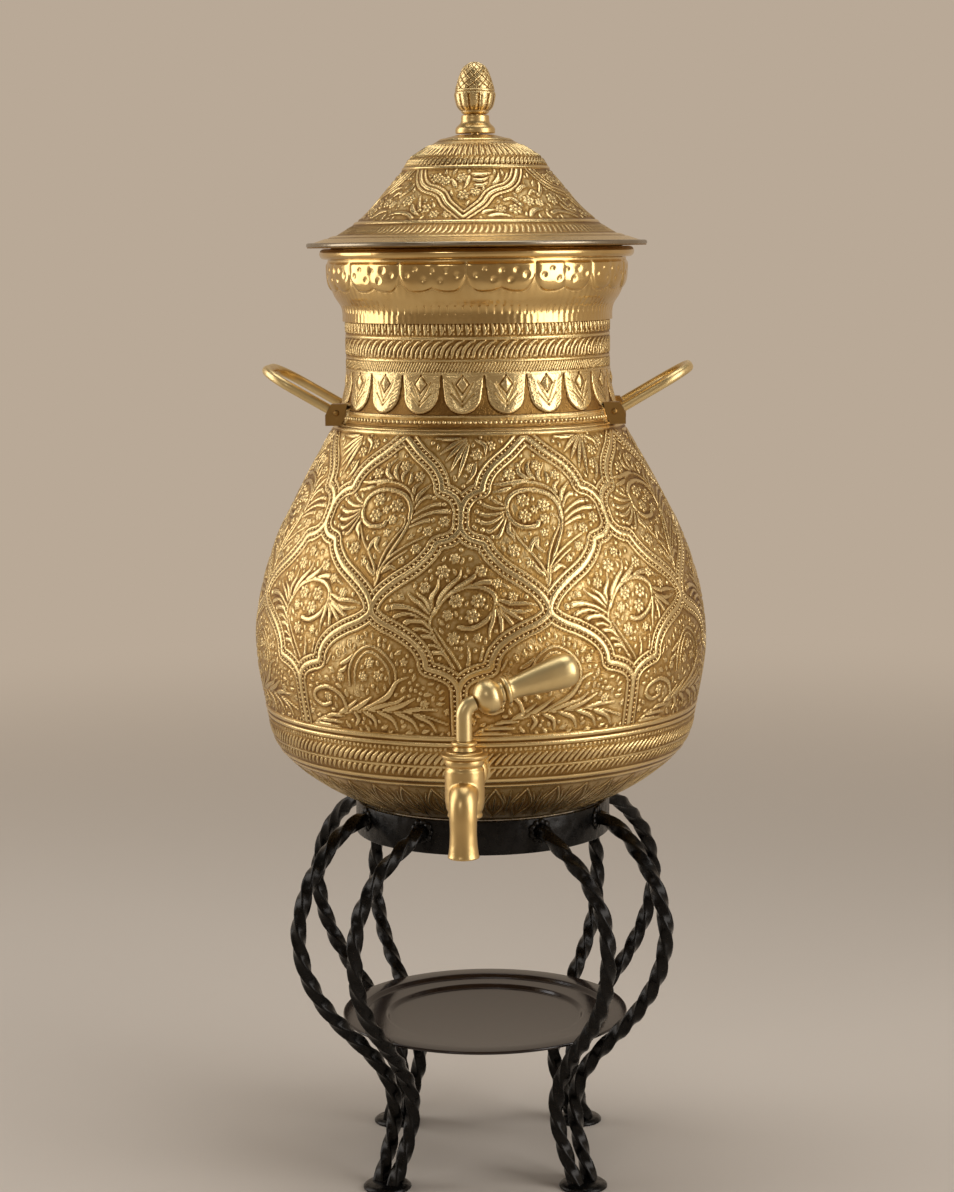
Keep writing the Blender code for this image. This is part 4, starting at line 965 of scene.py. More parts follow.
def seal_rubber():
    """Moulded nitrile rubber: near black and dull, with a fine moulded grain."""
    material = bpy.data.materials.new("moulded_nitrile_rubber")
    material.use_nodes = True
    tree = material.node_tree
    shader = tree.nodes["Principled BSDF"]
    shader.inputs["Roughness"].default_value = 0.75
    place = add_node(tree, "ShaderNodeTexCoord")
    grain = add_node(tree, "ShaderNodeTexNoise", values={"Scale": 900.0}, links={"Vector": (place, "Object")})
    tone = add_node(tree, "ShaderNodeMix", {"data_type": "RGBA"}, {"A": (*linear("#141414"), 1),
                                                                  "B": (*linear("#242322"), 1)},
                    {"Factor": (grain, "Fac")})
    bump = add_node(tree, "ShaderNodeBump", values={"Strength": 0.3, "Distance": 0.0002},
                    links={"Height": (grain, "Fac")})
    tree.links.new(tone.outputs["Result"], shader.inputs["Base Color"])
    tree.links.new(bump.outputs["Normal"], shader.inputs["Normal"])
    return material


METALS = {}


def finish_of(name):
    """The material of one finish, made once."""
    finishes = bpy.context.scene.dispenser_finishes
    makers = {
        "chased": lambda: chased_brass(finishes),
        "cast": lambda: cast_brass("satin_cast_brass", 0.26, 0.50, finishes.cast, "#D2AE70"),
        "polished": lambda: cast_brass("polished_spun_brass", 0.12, 0.34, finishes.cast, "#C8A263"),
        # Paler brass: on the lever a painted highlight along its top; on the handle loops only their paler tone
        "pale_and_highlit": lambda: cast_brass("pale_brass_painted_highlight", 0.30, 0.52, linear("#EDD6A0"), "#D6B87C"),
        "darkened": lambda: cast_brass("darkened_cast_brass", 0.36, 0.56, linear("#BE985A"), "#8C6837"),
        "tinned": lambda: cast_brass("tinned_brass_edge", 0.22, 0.40, linear("#A89A84"), "#857762"),
        "iron": lambda: wrought_iron(finishes),
        "tray": lambda: stove_enamel(finishes),
        "rubber": seal_rubber,
    }
    if name not in METALS:
        METALS[name] = makers[name]()
    return METALS[name]


# Pieces

def bowl_outline():
    """The bowl's outside in mm, from its flat bottom's edge to its lip."""
    return dense(BOWL_SHARES, 151.4, (SEAM - BOWL_BASE) * 1000, BOWL_BASE * 1000)


def strap_lines():
    """Ridge lines of the strap work in one cell, both sides."""
    lines = []
    for side in (-1, 1):
        for half in (STRAP_UPPER, STRAP_LOWER, STRAP_FOOT):
            lines.append(curve([(CELL_MIDDLE + side * a, z) for a, z in half], 6))
    return lines


def growth_from(azimuth, z):
    """Where the stems that fill this place in a medallion spring from."""
    half = CELL_WIDTH / 2
    off = (azimuth - CELL_MIDDLE + half) % CELL_WIDTH - half
    middle = azimuth - off
    between = middle + (half if azimuth > middle else -half)
    zones = ((452, STRAP_UPPER, 405, 466), (398, STRAP_LOWER, 405, 346), (0, STRAP_FOOT, 316, 346))
    strap, inside, outside = next(zone[1:] for zone in zones if z >= zone[0])
    degrees, heights = zip(*reversed(strap))
    return (middle, inside) if abs(off) < np.interp(z, heights, degrees) else (between, outside)


def strap_distance(cell):
    """Distance in mm of every drawing point from the nearest ridge line."""
    away = np.full(cell.height.shape, 9.0)
    for line in strap_lines():
        cells, d, _ = cell.near(line, 7.0)
        away[cells] = np.minimum(away[cells], d)
    return away


def work_strap(cell, away):
    """Raise the strap: a broad ridge between two grooves for beads, each edged by a rounded ridge."""
    broad = 0.9 * np.sqrt(np.clip(1 - (away / 1.8) ** 4, 0, 1))
    edge = 0.72 * np.sqrt(np.clip(1 - ((away - 4.55) / 0.8) ** 2, 0, 1))
    strap = np.maximum(np.maximum(broad, edge), -0.15)
    above = ((cell.z > 318.5) & (cell.z < 505.5))[:, None]
    sunk = np.minimum(cell.height, -0.35 * np.clip(1 - (away - 5.35) / 0.85, 0, 1))
    cell.height = np.where((away >= 5.35) & (away < 6.2) & above, sunk, cell.height)
    cell.height = np.where((away < 5.35) & above, strap, cell.height)
    cell.used |= away < 6.0


def work_bowl_bands(cell):
    """Turned and chased bands under the medallions, down to the ring."""
    cell.bands(((319.6, 1.7, 0.95), (315.4, 1.1, 0.75), (300.4, 0.6, 0.4), (290.6, 1.3, 0.8),
                (286.4, 1.0, 0.55), (505.9, 1.1, 0.8)), 0.7)
    for k in range(36):
        cell.dome(cell.first + k * 1.25, 312.2, 1.0, 0.6, margin=0.4)
    for k in range(26):
        a = cell.first + k * CELL_WIDTH / 26
        cell.stroke(((a, 301.8), (a + 1.1, 305.6), (a + 2.9, 309.6)), 2.6, 0.75, "leaf", margin=0.5)
        cell.stroke(((a + 2.0, 299.4), (a + 0.9, 297), (a + 0.3, 293.8)), 2.2, 0.65, "leaf", margin=0.5)
    for k in range(5):
        a = cell.first + k * CELL_WIDTH / 5
        for way in (-1, 1):
            cell.stroke(((a, 256.4), (a + way * 3.0, 269), (a, 283.6)), 1.5, 0.7, "line")
            cell.stroke(((a, 262), (a + way * 1.3, 267.5), (a + way * 1.5, 272.5)), 1.7, 0.55, "leaf")
            cell.stroke(((a + 4.5, 262), (a + 4.5 + way * 0.9, 271), (a + 4.5 + way * 2.4, 280.5)), 2.4, 0.65,
                        "leaf")
        cell.stroke(((a, 263), (a, 279)), 2.2, 0.65, "leaf", vein=0.3)
        cell.stroke(((a + 4.5, 262), (a + 4.5, 282.4)), 2.2, 0.65, "leaf", vein=0.3)
        cell.dome(a + 4.5, 258.6, 1.5, 0.6)


class DISPENSER_OT_bowl(bpy.types.Operator):
    """Bowl: chased sheet with eight strap-work cells, and the beads in the strap's grooves"""

    bl_idname = "dispenser.bowl"
    bl_label = "Chased Bowl"

    def execute(self, context):
        sizes = context.scene.dispenser_sizes
        outline = bowl_outline()
        cell = Chasing(outline, 254.0, SEAM * 1000, CELL_MIDDLE - CELL_WIDTH / 2, CELL_WIDTH,
                       sizes.bowl_columns, 0.84)
        away = strap_distance(cell)
        for motifs in (FOOT_MEDALLION, LOWER_MEDALLION, UPPER_MEDALLION, TOP_MEDALLION):
            cell.draw(motifs, 0.85)
        cell.used |= away < 6.0
        cell.fill(322, 504, 11, (5.4, 4.0, 3.2, 1.2), (2600, 2600, 1800, 700), 0.7, growth_from)
        work_strap(cell, away)
        work_bowl_bands(cell)
        chance = np.random.default_rng(5)
        cell.height += 0.09 * (chance.random(cell.height.shape) - 0.5) * (cell.height < 0.3)
        depth = sizes.chasing_depth / MM / DRAWN_SPAN
        brass = finish_of("chased")
        wall = sizes.wall / MM
        turned_relief("chased_bowl", outline, cell, 8, depth, brass, "urn", ["urn_bowl"], wall,
                      seats=((0, TAP.z * 1000, 14.5),))
        plain = Chasing(outline, BOWL_BASE * 1000, 254.0, CELL_MIDDLE - CELL_WIDTH / 2, CELL_WIDTH,
                        sizes.bowl_columns, 3.0)
        turned_relief("bowl_underside", outline, plain, 8, depth, brass, "urn", ["urn_bowl"], wall,
                      closed_low=True)
        self.beads(cell, away, depth, cell.smoothed().max(), sizes, brass)
        return {"FINISHED"}

    def beads(self, cell, away, depth, top, sizes, brass):
        """Set a row of beads in both grooves of every strap."""
        places = []
        for line in strap_lines():
            s = np.interp(line[:, 1], *cell.known)
            scale = np.interp(s, cell.s, cell.scale)
            for side in (-2.78, 2.78):
                du = np.gradient(line[:, 0]) * scale
                dv = np.gradient(s)
                size = np.hypot(du, dv) + 1e-9
                a = line[:, 0] - side * dv / size / scale
                b = s + side * du / size
                run = np.concatenate(([0], np.cumsum(np.hypot(np.diff(a) * scale[1:], np.diff(b)))))
                for mark in np.arange(0.6, run[-1], sizes.bead_pitch / MM):
                    azimuth = np.interp(mark, run, a)
                    z = np.interp(np.interp(mark, run, b), cell.s, cell.z)
                    row = int(np.clip(np.searchsorted(cell.z, z), 0, len(cell.z) - 1))
                    column = int(round((azimuth - cell.first) / cell.pitch)) % away.shape[1]
                    if 2.35 < away[row, column] < 3.2 and 322 < z < 503.5:
                        places.append((azimuth, z))
        kept = []
        for azimuth, z in places:
            scale = np.interp(z, cell.z, cell.scale)
            if all(abs((azimuth - a + 22.5) % 45 - 22.5) * scale > 1.9 or abs(z - b) > 1.9 for a, b in kept):
                kept.append((azimuth, z))
        spots = [surface_point(cell, a + 45 * k, z, (top + 0.12) * depth) for a, z in kept for k in range(8)]
        made = grown("strap_beads", point_mesh("strap_bead_points", spots), bead_tree(),
                     {"Radius": sizes.bead, "Flatness": 0.9, "Unevenness": 0.1, "Seed": 3, "Metal": brass})
        put("strap_beads", made, brass, "urn")


class DISPENSER_OT_neck(bpy.types.Operator):
    """Neck: leaf, rope and petal bands over a beaded seam"""

    bl_idname = "dispenser.neck"
    bl_label = "Chased Neck"

    def execute(self, context):
        sizes = context.scene.dispenser_sizes
        lip = 96.24
        radius = 89.3
        base = SEAM * 1000
        tall = (NECK_TOP - SEAM) * 1000
        shares = [(radius + r * (lip - radius), base + h * tall) for r, h in NECK_SHARES]
        line = curve([(lip, base + 0.3)] + shares, 12)
        cell = Chasing(line, base + 0.3, NECK_TOP * 1000, -12.0, 18.0, 45, 0.75)
        cell.bands(((508.6, 1.0, 0.8), (516.6, 0.7, 0.7), (542.9, 0.9, 0.8), (551.0, 0.7, 0.6),
                    (565.0, 0.8, 0.7), (576.6, 1.0, 0.7)), 0.6)
        self.petals(cell)
        for k in range(14):
            a = cell.first + k * 18 / 14
            cell.stroke(((a - 0.9, 544.4), (a + 0.9, 549.4)), 1.25, 0.62, "line", margin=0.4)
        for k in range(4):
            a = cell.first + k * 4.5
            cell.stroke(((a, 552.4), (a + 0.6, 557.5), (a + 3.0, 562), (a + 5.4, 563.6)), 2.5, 0.8, "leaf",
                        vein=0.2)
            cell.stroke(((a + 2.0, 552.6), (a + 2.8, 557), (a + 4.6, 560.6)), 2.0, 0.7, "leaf")
            cell.dome(a + 3.7, 553.4, 0.9, 0.6)
        for k in range(5):
            a = cell.first + k * 3.6
            cell.stroke(((a, 567), (a + 0.5, 570), (a - 0.2, 574.4)), 2.8, 0.8, "leaf", vein=0.25)
            cell.stroke(((a + 1.8, 574.6), (a + 1.8, 569.4)), 1.6, 0.6, "leaf")
            cell.dome(a + 1.8, 567.9, 0.85, 0.6)
        depth = sizes.chasing_depth / MM / DRAWN_SPAN
        brass = finish_of("chased")
        seats = [(side * (90 + off), 513.5, 9.5) for side in (-1, 1) for off in (-20.5, 20.5)]
        turned_relief("chased_neck", line, cell, 20, depth, brass, "urn", ["urn_neck"], sizes.wall / MM,
                      limit=96, seats=seats)
        spots = [surface_point(cell, cell.first + 2 * k, 512.6, 0.55) for k in range(180)]
        made = grown("seam_beads", point_mesh("seam_bead_points", spots), bead_tree(),
                     {"Radius": sizes.neck_bead, "Flatness": 0.6, "Unevenness": 0.06, "Seed": 5,
                      "Metal": brass})
        put("seam_beads", made, brass, "urn")
        return {"FINISHED"}

    def petals(self, cell):
        """One upright petal to a cell, with a lozenge at its top and hatched sides."""
        middle = cell.first + 9
        half = np.interp(cell.z, (517.6, 518.4, 519.4, 521, 523.4, 527, 534, 542.4),
                         (0, 2.3, 3.7, 5.1, 6.5, 7.5, 8.2, 8.8))
        turn = cell.first + np.arange(cell.height.shape[1]) * cell.pitch - middle
        room = (half[:, None] - np.abs(turn)[None, :]) * cell.scale[:, None]
        here = ((cell.z > 517.3) & (cell.z < 542))[:, None]
        crown = np.sqrt(np.clip(1 - (1 - np.clip(room / 5.0, 0, 1)) ** 2, 0, 1))
        crown = crown * np.interp(cell.z, (517, 521, 526, 534, 542), (1.5, 1.6, 1.25, 0.95, 0.8))[:, None]
        cell.height = np.where(here & (room > 0), crown, np.where(here, -0.75, cell.height))
        for side in (-1, 1):
            for low, high, out, width in ((525.4, 537.4, 4.4, 1.0), (522.8, 530.6, 4.6, 0.9)):
                found = cell.near(((middle, low), (middle + side * out, high)), 1.6)
                cell.height[found[0]] -= 0.5 * np.exp(-(found[1] / (width * 0.55)) ** 2)
            for start, end in (((middle, 541.6), (middle + side * 2.7, 536.2)),
                               ((middle + side * 2.7, 536.2), (middle, 530.8))):
                found = cell.near((start, end), 1.4)
                cell.height[found[0]] -= 0.6 * np.exp(-(found[1] / 0.5) ** 2)
            for k in range(7):
                a = middle + side * (7.6 - 0.32 * k)
                low = 539.4 - 2.5 * k
                found = cell.near(((a, low), (a - side * 1.9, low - 2.2)), 1.0)
                cell.height[found[0]] -= 0.42 * np.exp(-(found[1] / 0.42) ** 2)
        lozenge = 1 - np.abs(turn)[None, :] / 2.6 - np.abs(cell.z - 536.2)[:, None] / 5.2
        cell.height += 1.1 * np.clip(lozenge, 0, 1) + 0.25 * (lozenge > 0)


class DISPENSER_OT_collar(bpy.types.Operator):
    """Collar: polished swags with stamped drops over a satin foot, and the rolled bead on top"""

    bl_idname = "dispenser.collar"
    bl_label = "Collar and Mouth Bead"

    def execute(self, context):
        foot = 90.8
        low = NECK_TOP * 1000
        tall = (COLLAR_TOP - NECK_TOP) * 1000
        points = [(foot, low - 3.5)] + [(foot + r * (99.8 - foot), low + h * tall) for r, h in COLLAR_SHARES]
        line = curve(points, 12)
        period = 360 / 14
        cell = Chasing(line, low - 3.5, COLLAR_TOP * 1000, 38 - period / 2, period, 56, 0.7)
        middle = 38.0
        turn = cell.first + np.arange(cell.height.shape[1]) * cell.pitch - middle
        lobe = np.abs(np.abs(turn) - period / 4) / (period / 4)
        outer = np.abs(turn) > period / 4
        bottom = 593.8 + np.where(outer, 11.0 * lobe ** 3.2, 2.6 * lobe ** 2.4)
        room = np.minimum((cell.z[:, None] - bottom[None, :]) / 1.3,
                          np.where(outer, (1 - lobe) * period / 4 * cell.scale.mean() + 0.6, 9.0)[None, :])
        swell = np.sqrt(np.clip(1 - (1 - np.clip(room / 5.4, 0, 1)) ** 2, 0, 1))
        waist = 0.35 * np.exp(-(turn * cell.scale.mean() / 2.4) ** 2)[None, :]
        top = np.clip((COLLAR_TOP * 1000 - 1.2 - cell.z[:, None]) / 2.2, 0, 1)
        satin = 0.45 + 0.07 * np.cos(np.radians(turn * 14 * 9))[None, :]
        edge = np.exp(-(room / 0.5) ** 2)
        cell.height = np.where(room > 0, 0.35 + (1.55 - waist) * swell * top + 0.2 * (1 - top),
                               satin) - 0.22 * edge
        for off, z in ((-9.6, 604.4), (-6.2, 608.4), (-3.0, 602.0), (0.3, 607.6), (3.4, 601.4), (5.6, 607.8),
                       (9.4, 604.8)):
            cells, d, _ = cell.near(((middle + off, z), (middle + off + 0.2, z + 0.3)), 4)
            cell.height[cells] -= 0.75 * np.exp(-(d / 1.45) ** 2)
        for k in range(8):
            cells, d, _ = cell.near(((cell.first + (k + 0.5) * period / 8, 580.6),
                                     (cell.first + (k + 0.5) * period / 8, 584)), 2)
            cell.height[cells] -= 0.35 * np.exp(-(d / 0.7) ** 2)
        turned_relief("polished_collar", line, cell, 14, 1.0, finish_of("polished"), "urn", ["urn_collar"],
                      2.6, limit=100)
        centre = (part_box("mouth_bead")[0].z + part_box("mouth_bead")[1].z) / 2
        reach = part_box("mouth_bead")[1].x - 0.0035
        ring = [(AXIS.x + reach * math.cos(math.tau * k / 180), AXIS.y + reach * math.sin(math.tau * k / 180),
                 centre) for k in range(180)]
        made = grown("rolled_mouth_bead", line_mesh("mouth_line", ring, True), rod_tree(),
                     {"Radius": 0.00345, "Sides": 20, "Metal": finish_of("polished")})
        put("rolled_mouth_bead", made, finish_of("polished"), "urn", "mouth_bead")
        return {"FINISHED"}


class DISPENSER_OT_lid(bpy.types.Operator):
    """Lid: chased dome with four bracket swags and a plain flared rim"""

    bl_idname = "dispenser.lid"
    bl_label = "Chased Lid"

    def execute(self, context):
        sizes = context.scene.dispenser_sizes
        line = dense(LID_SHARES, 112.5, (LID_CROWN - LID_BASE) * 1000 - 1.42, LID_BASE * 1000 + 1.42)
        cell = Chasing(line, line[0, 1], line[-1, 1], -48.0, 90.0, 180, 0.8)
        self.swags(cell)
        depth = sizes.chasing_depth / MM / DRAWN_SPAN
        turned_relief("chased_lid", line, cell, 4, depth, finish_of("chased"), "lid", ["lid_dome"], 2.4,
                      closed_high=True, limit=120)
        edge = ((110.8, 623.1), (111.5, 622.95), (112.1, 623.2), (112.4, 623.6), (112.5, 624.2), (112.4, 624.8),
                (112.1, 625.25), (111.6, 625.6), (111.1, 625.75), (110.8, 625.6), (110.8, 623.1))
        mesh = lathe("lid_edge", edge, 180, (AXIS.x, AXIS.y, 0))
        put("tinned_lid_edge", mesh, finish_of("tinned"), "lid", "lid_dome")
        ring = ((94.7, 606.3), (96.2, 606.3), (96.2, 622.26), (102.4, 622.26), (102.5, 623.76),
                (96.2, 623.76), (96.2, 628.16), (94.7, 628.65), (94.7, 606.3))
        mesh = lathe("locating_ring", rounded(ring, 0.3), 180, (AXIS.x, AXIS.y, 0))
        put("spun_locating_ring", mesh, finish_of("polished"), "lid", "lid_locating_ring")
        return {"FINISHED"}

    def swags(self, cell):
        """Bracket swags, the border below them and the leaves above."""
        flowers = (("rosette", 3.4, ((-24, 666.4),)), ("rosette", 3.2, ((-6, 666.4),)),
                   ("rosette", 3.2, ((-17, 664.6),)),
                   ("rosette", 3.2, ((-4, 655.4),)), ("rosette", 3.0, ((3, 657.6),)),
                   ("leaf", 2.6, ((0, 669), (6, 668.2), (14, 669.4))),
                   ("leaf", 2.4, ((1, 665.4), (7, 664.8), (12, 666.6))),
                   ("leaf", 2.4, ((2, 662), (7, 661.4), (11, 663.4))),
                   ("leaf", 2.4, ((14, 662), (18, 665), (20, 669.4))),
                   ("leaf", 2.4, ((20, 661.6), (24, 665), (26.4, 669.4))),
                   ("leaf", 2.4, ((-9, 660), (-11, 663.6), (-13.4, 666))),
                   ("leaf", 2.2, ((-1, 668), (-2, 664), (-4, 660))),
                   ("leaf", 2.2, ((6, 655), (8, 658), (8, 661))),
                   ("leaf", 2.4, ((-38, 666), (-33, 664), (-29, 661.4))), ("dome", 1.4, ((-30, 668),)))
        field = (("rosette", 3.8, ((-38, 652.6),)), ("rosette", 3.2, ((-24, 647),)),
                 ("rosette", 3.0, ((-18, 643.4),)),
                 ("scroll", 2.6, ((-45, 644), (-40, 645), (-33, 643.8), (-29, 641.4))),
                 ("curl", 2.8, ((-31, 655), (-29, 650), (-27, 646))),
                 ("leaf", 3.0, ((-34, 650), (-31, 646), (-26, 643))), ("rosette", 3.0, ((-11, 643.6),)),
                 ("rosette", 3.8, ((24, 646),)), ("rosette", 3.0, ((16, 646.4),)),
                 ("curl", 3.0, ((19, 652), (24, 653), (28, 649))),
                 ("leaf", 2.8, ((9, 642), (15, 643), (21, 641.6))),
                 ("leaf", 3.0, ((30, 641.6), (34, 645.4), (40, 646.4))),
                 ("rosette", 3.4, ((34, 651.6),)), ("leaf", 2.8, ((28, 657), (33, 660.4), (38, 661))),
                 ("curl", 2.8, ((36, 655.6), (40, 658), (43, 655.4))),
                 ("leaf", 2.6, ((-46, 656), (-42, 660), (-41, 664))),
                 ("rosette", 2.8, ((40.6, 650.4),)), ("leaf", 2.4, ((6, 643.4), (8, 645), (13, 646))))
        cell.draw(flowers + field, 0.8)
        strap = ((-3, 641.4), (-8, 646), (-13, 650.4), (-17, 655.6), (-22, 658.4), (-29, 660.4), (-35, 664),
                 (-39.4, 668.6), (-42, 672.4))
        other = [(-6 - a, z) for a, z in strap]
        away = np.full(cell.height.shape, 9.0)
        for half in (strap, other):
            cells, d, _ = cell.near(curve(half, 6), 6.0)
            away[cells] = np.minimum(away[cells], d)
        cell.used |= away < 4.4
        cell.fill(641, 671, 17, (5.2, 3.8, 3.0, 1.2), (900, 900, 900, 400), 0.7)
        ridge = np.maximum(0.9 * np.sqrt(np.clip(1 - (away / 1.3) ** 2, 0, 1)),
                           0.8 * np.sqrt(np.clip(1 - ((away - 3.3) / 0.75) ** 2, 0, 1)))
        on = (away < 4.05) & ((cell.z > 640) & (cell.z < 673))[:, None]
        cell.height = np.where(on, np.maximum(ridge, 0.0), cell.height)
        rim = (away >= 4.05) & (away < 4.7) & ((cell.z > 640) & (cell.z < 673))[:, None]
        cell.height = np.where(rim, np.minimum(cell.height, -0.25), cell.height)
        for k in range(36):
            a = cell.first + k * 2.5
            cell.stroke(((a, 631.6), (a + 1.1, 634), (a + 1.5, 637.2)), 2.0, 0.45, "leaf", vein=0.15)
            cell.dome(a + 2.0, 632.2, 0.65, 0.4)
        for k in range(20):
            a = cell.first + k * 4.5
            cell.stroke(((a, 675), (a + 1.6, 677.6), (a + 4.6, 680)), 2.2, 0.75, "leaf")
            cell.stroke(((a + 1.4, 675.6), (a + 3.4, 678)), 1.5, 0.6, "leaf")
        for k in range(16):
            a = cell.first + k * 5.625
            cell.stroke(((a, 680.6), (a + 1.2, 684.6), (a, 689)), 2.0, 0.75, "leaf")
            cell.stroke(((a + 2.8, 681.4), (a + 2.2, 685), (a + 3.4, 688)), 1.5, 0.6, "leaf")
        cell.bands(((639.0, 0.9, 0.8), (673.6, 1.0, 0.95), (630.2, 0.8, 0.6), (692.6, 0.8, 0.6)), 0.5, -0.15)
        plain = np.clip((629.4 - cell.z[:, None]) / 0.6, 0, 1)
        cell.height = cell.height * (1 - plain) + 0.55 * plain


class DISPENSER_OT_knob(bpy.types.Operator):
    """Knob: turned base, and a finial fluted below and hatched above"""

    bl_idname = "dispenser.knob"
    bl_label = "Knob"

    def execute(self, context):
        low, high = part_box("knob_base")
        tall = (high.z - low.z) * 1000
        base = ((0.0, 0.0), (13.0, 0.0), (13.1, 1.2), (13.1, 2.6), (12.6, 3.8), (11.6, 4.9), (10.1, 6.2),
                (9.4, 7.6), (9.2, 9.0), (9.3, 10.2), (9.1, tall), (3.5, tall), (0.0, tall))
        mesh = lathe("knob_base_turned", rounded(base, 0.5), 96, (AXIS.x, AXIS.y, low.z))
        put("turned_knob_base", mesh, finish_of("cast"), "lid", "knob_base")
        low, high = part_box("knob_finial")
        shares = ((0.58, 0.0), (0.72, 0.075), (0.89, 0.165), (1.0, 0.355), (0.97, 0.44), (0.91, 0.545),
                  (0.745, 0.75), (0.555, 0.895), (0.28, 0.975), (0.06, 1.0))
        line = dense(shares, 13.7, (high.z - low.z) * 1000, low.z * 1000, 10)
        line = np.maximum.accumulate(line * (0, 1)) + line * (1, 0)
        cell = Chasing(line, line[0, 1], line[-1, 1], -15.0, 30.0, 16, 0.28)
        z = cell.z[:, None]
        turn = (cell.first + np.arange(cell.height.shape[1]) * cell.pitch)[None, :]
        start = low.z * 1000
        flute = 0.75 * np.abs(np.cos(np.radians(turn * 6)))
        lattice_a = np.cos(np.radians(turn * 12) + (z - start) * 1.25)
        lattice_b = np.cos(np.radians(turn * 12) - (z - start) * 1.25)
        lattice = 0.75 - 0.6 * np.clip(np.maximum(lattice_a, lattice_b) * 4 - 3, 0, 1)
        lower = (z > start + 2.6) & (z < start + 13.6)
        upper = z > start + 16.4
        cell.height = np.where(lower, flute, np.where(upper, lattice, 0.4))
        cell.bands(((start + 1.3, 1.2, 0.8), (start + 14.2, 0.8, 0.8), (start + 16.0, 0.8, 0.9)), 0)
        turned_relief("fluted_finial", line, cell, 12, 0.9, finish_of("chased"), "lid", ["knob_finial"], 2.0,
                      limit=200, closed_low=True, closed_high=True)
        return {"FINISHED"}


class DISPENSER_OT_handles(bpy.types.Operator):
    """Handles: a bent round bar on each side, with its lugs and their pins"""

    bl_idname = "dispenser.handles"
    bl_label = "Handles"

    def execute(self, context):
        # The loops share the lever's paler brass, here only for their paler tone
        metal = finish_of("pale_and_highlit")
        dark = finish_of("darkened")
        pins = []
        rise = math.radians(30)
        root = Vector((0.0963, SEAM + 0.011))
        for name, sign in (("left", -1), ("right", 1)):
            half = 0.034
            corner = 0.022
            run = 0.0495 - corner
            flat = [(0, half)]
            for k in range(17):
                turn = math.pi / 2 * k / 16
                flat.append((run + corner * math.sin(turn), half - corner * (1 - math.cos(turn))))
            flat += [(reach, -y) for reach, y in reversed(flat)]
            line = [(sign * (root.x + math.cos(rise) * reach), AXIS.y + y, root.y + math.sin(rise) * reach)
                    for reach, y in flat]
            made = grown("loop_" + name, line_mesh("loop_line_" + name, line), rod_tree(),
                         {"Radius": 0.0032, "Sides": 20, "Metal": metal})
            put("round_bar_handle_" + name, made, metal, "urn", "handle_loop_" + name)
            for end in ("front", "back"):
                repaint("handle_lug_%s_%s" % (name, end), dark)
                low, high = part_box("handle_lug_%s_%s" % (name, end))
                front = end == "front"
                face = low.y if front else high.y
                place = Vector(((low.x + high.x) / 2, face, (low.z + high.z) / 2 + 0.0012))
                pins.append((place, Vector((0, -1 if front else 1, 0))))
        made = grown("lug_pins", point_mesh("lug_pin_points", pins), bead_tree(),
                     {"Radius": 0.0022, "Flatness": 0.45, "Unevenness": 0.02, "Seed": 2, "Metal": dark})
        put("lug_pins", made, dark, "urn")
        return {"FINISHED"}


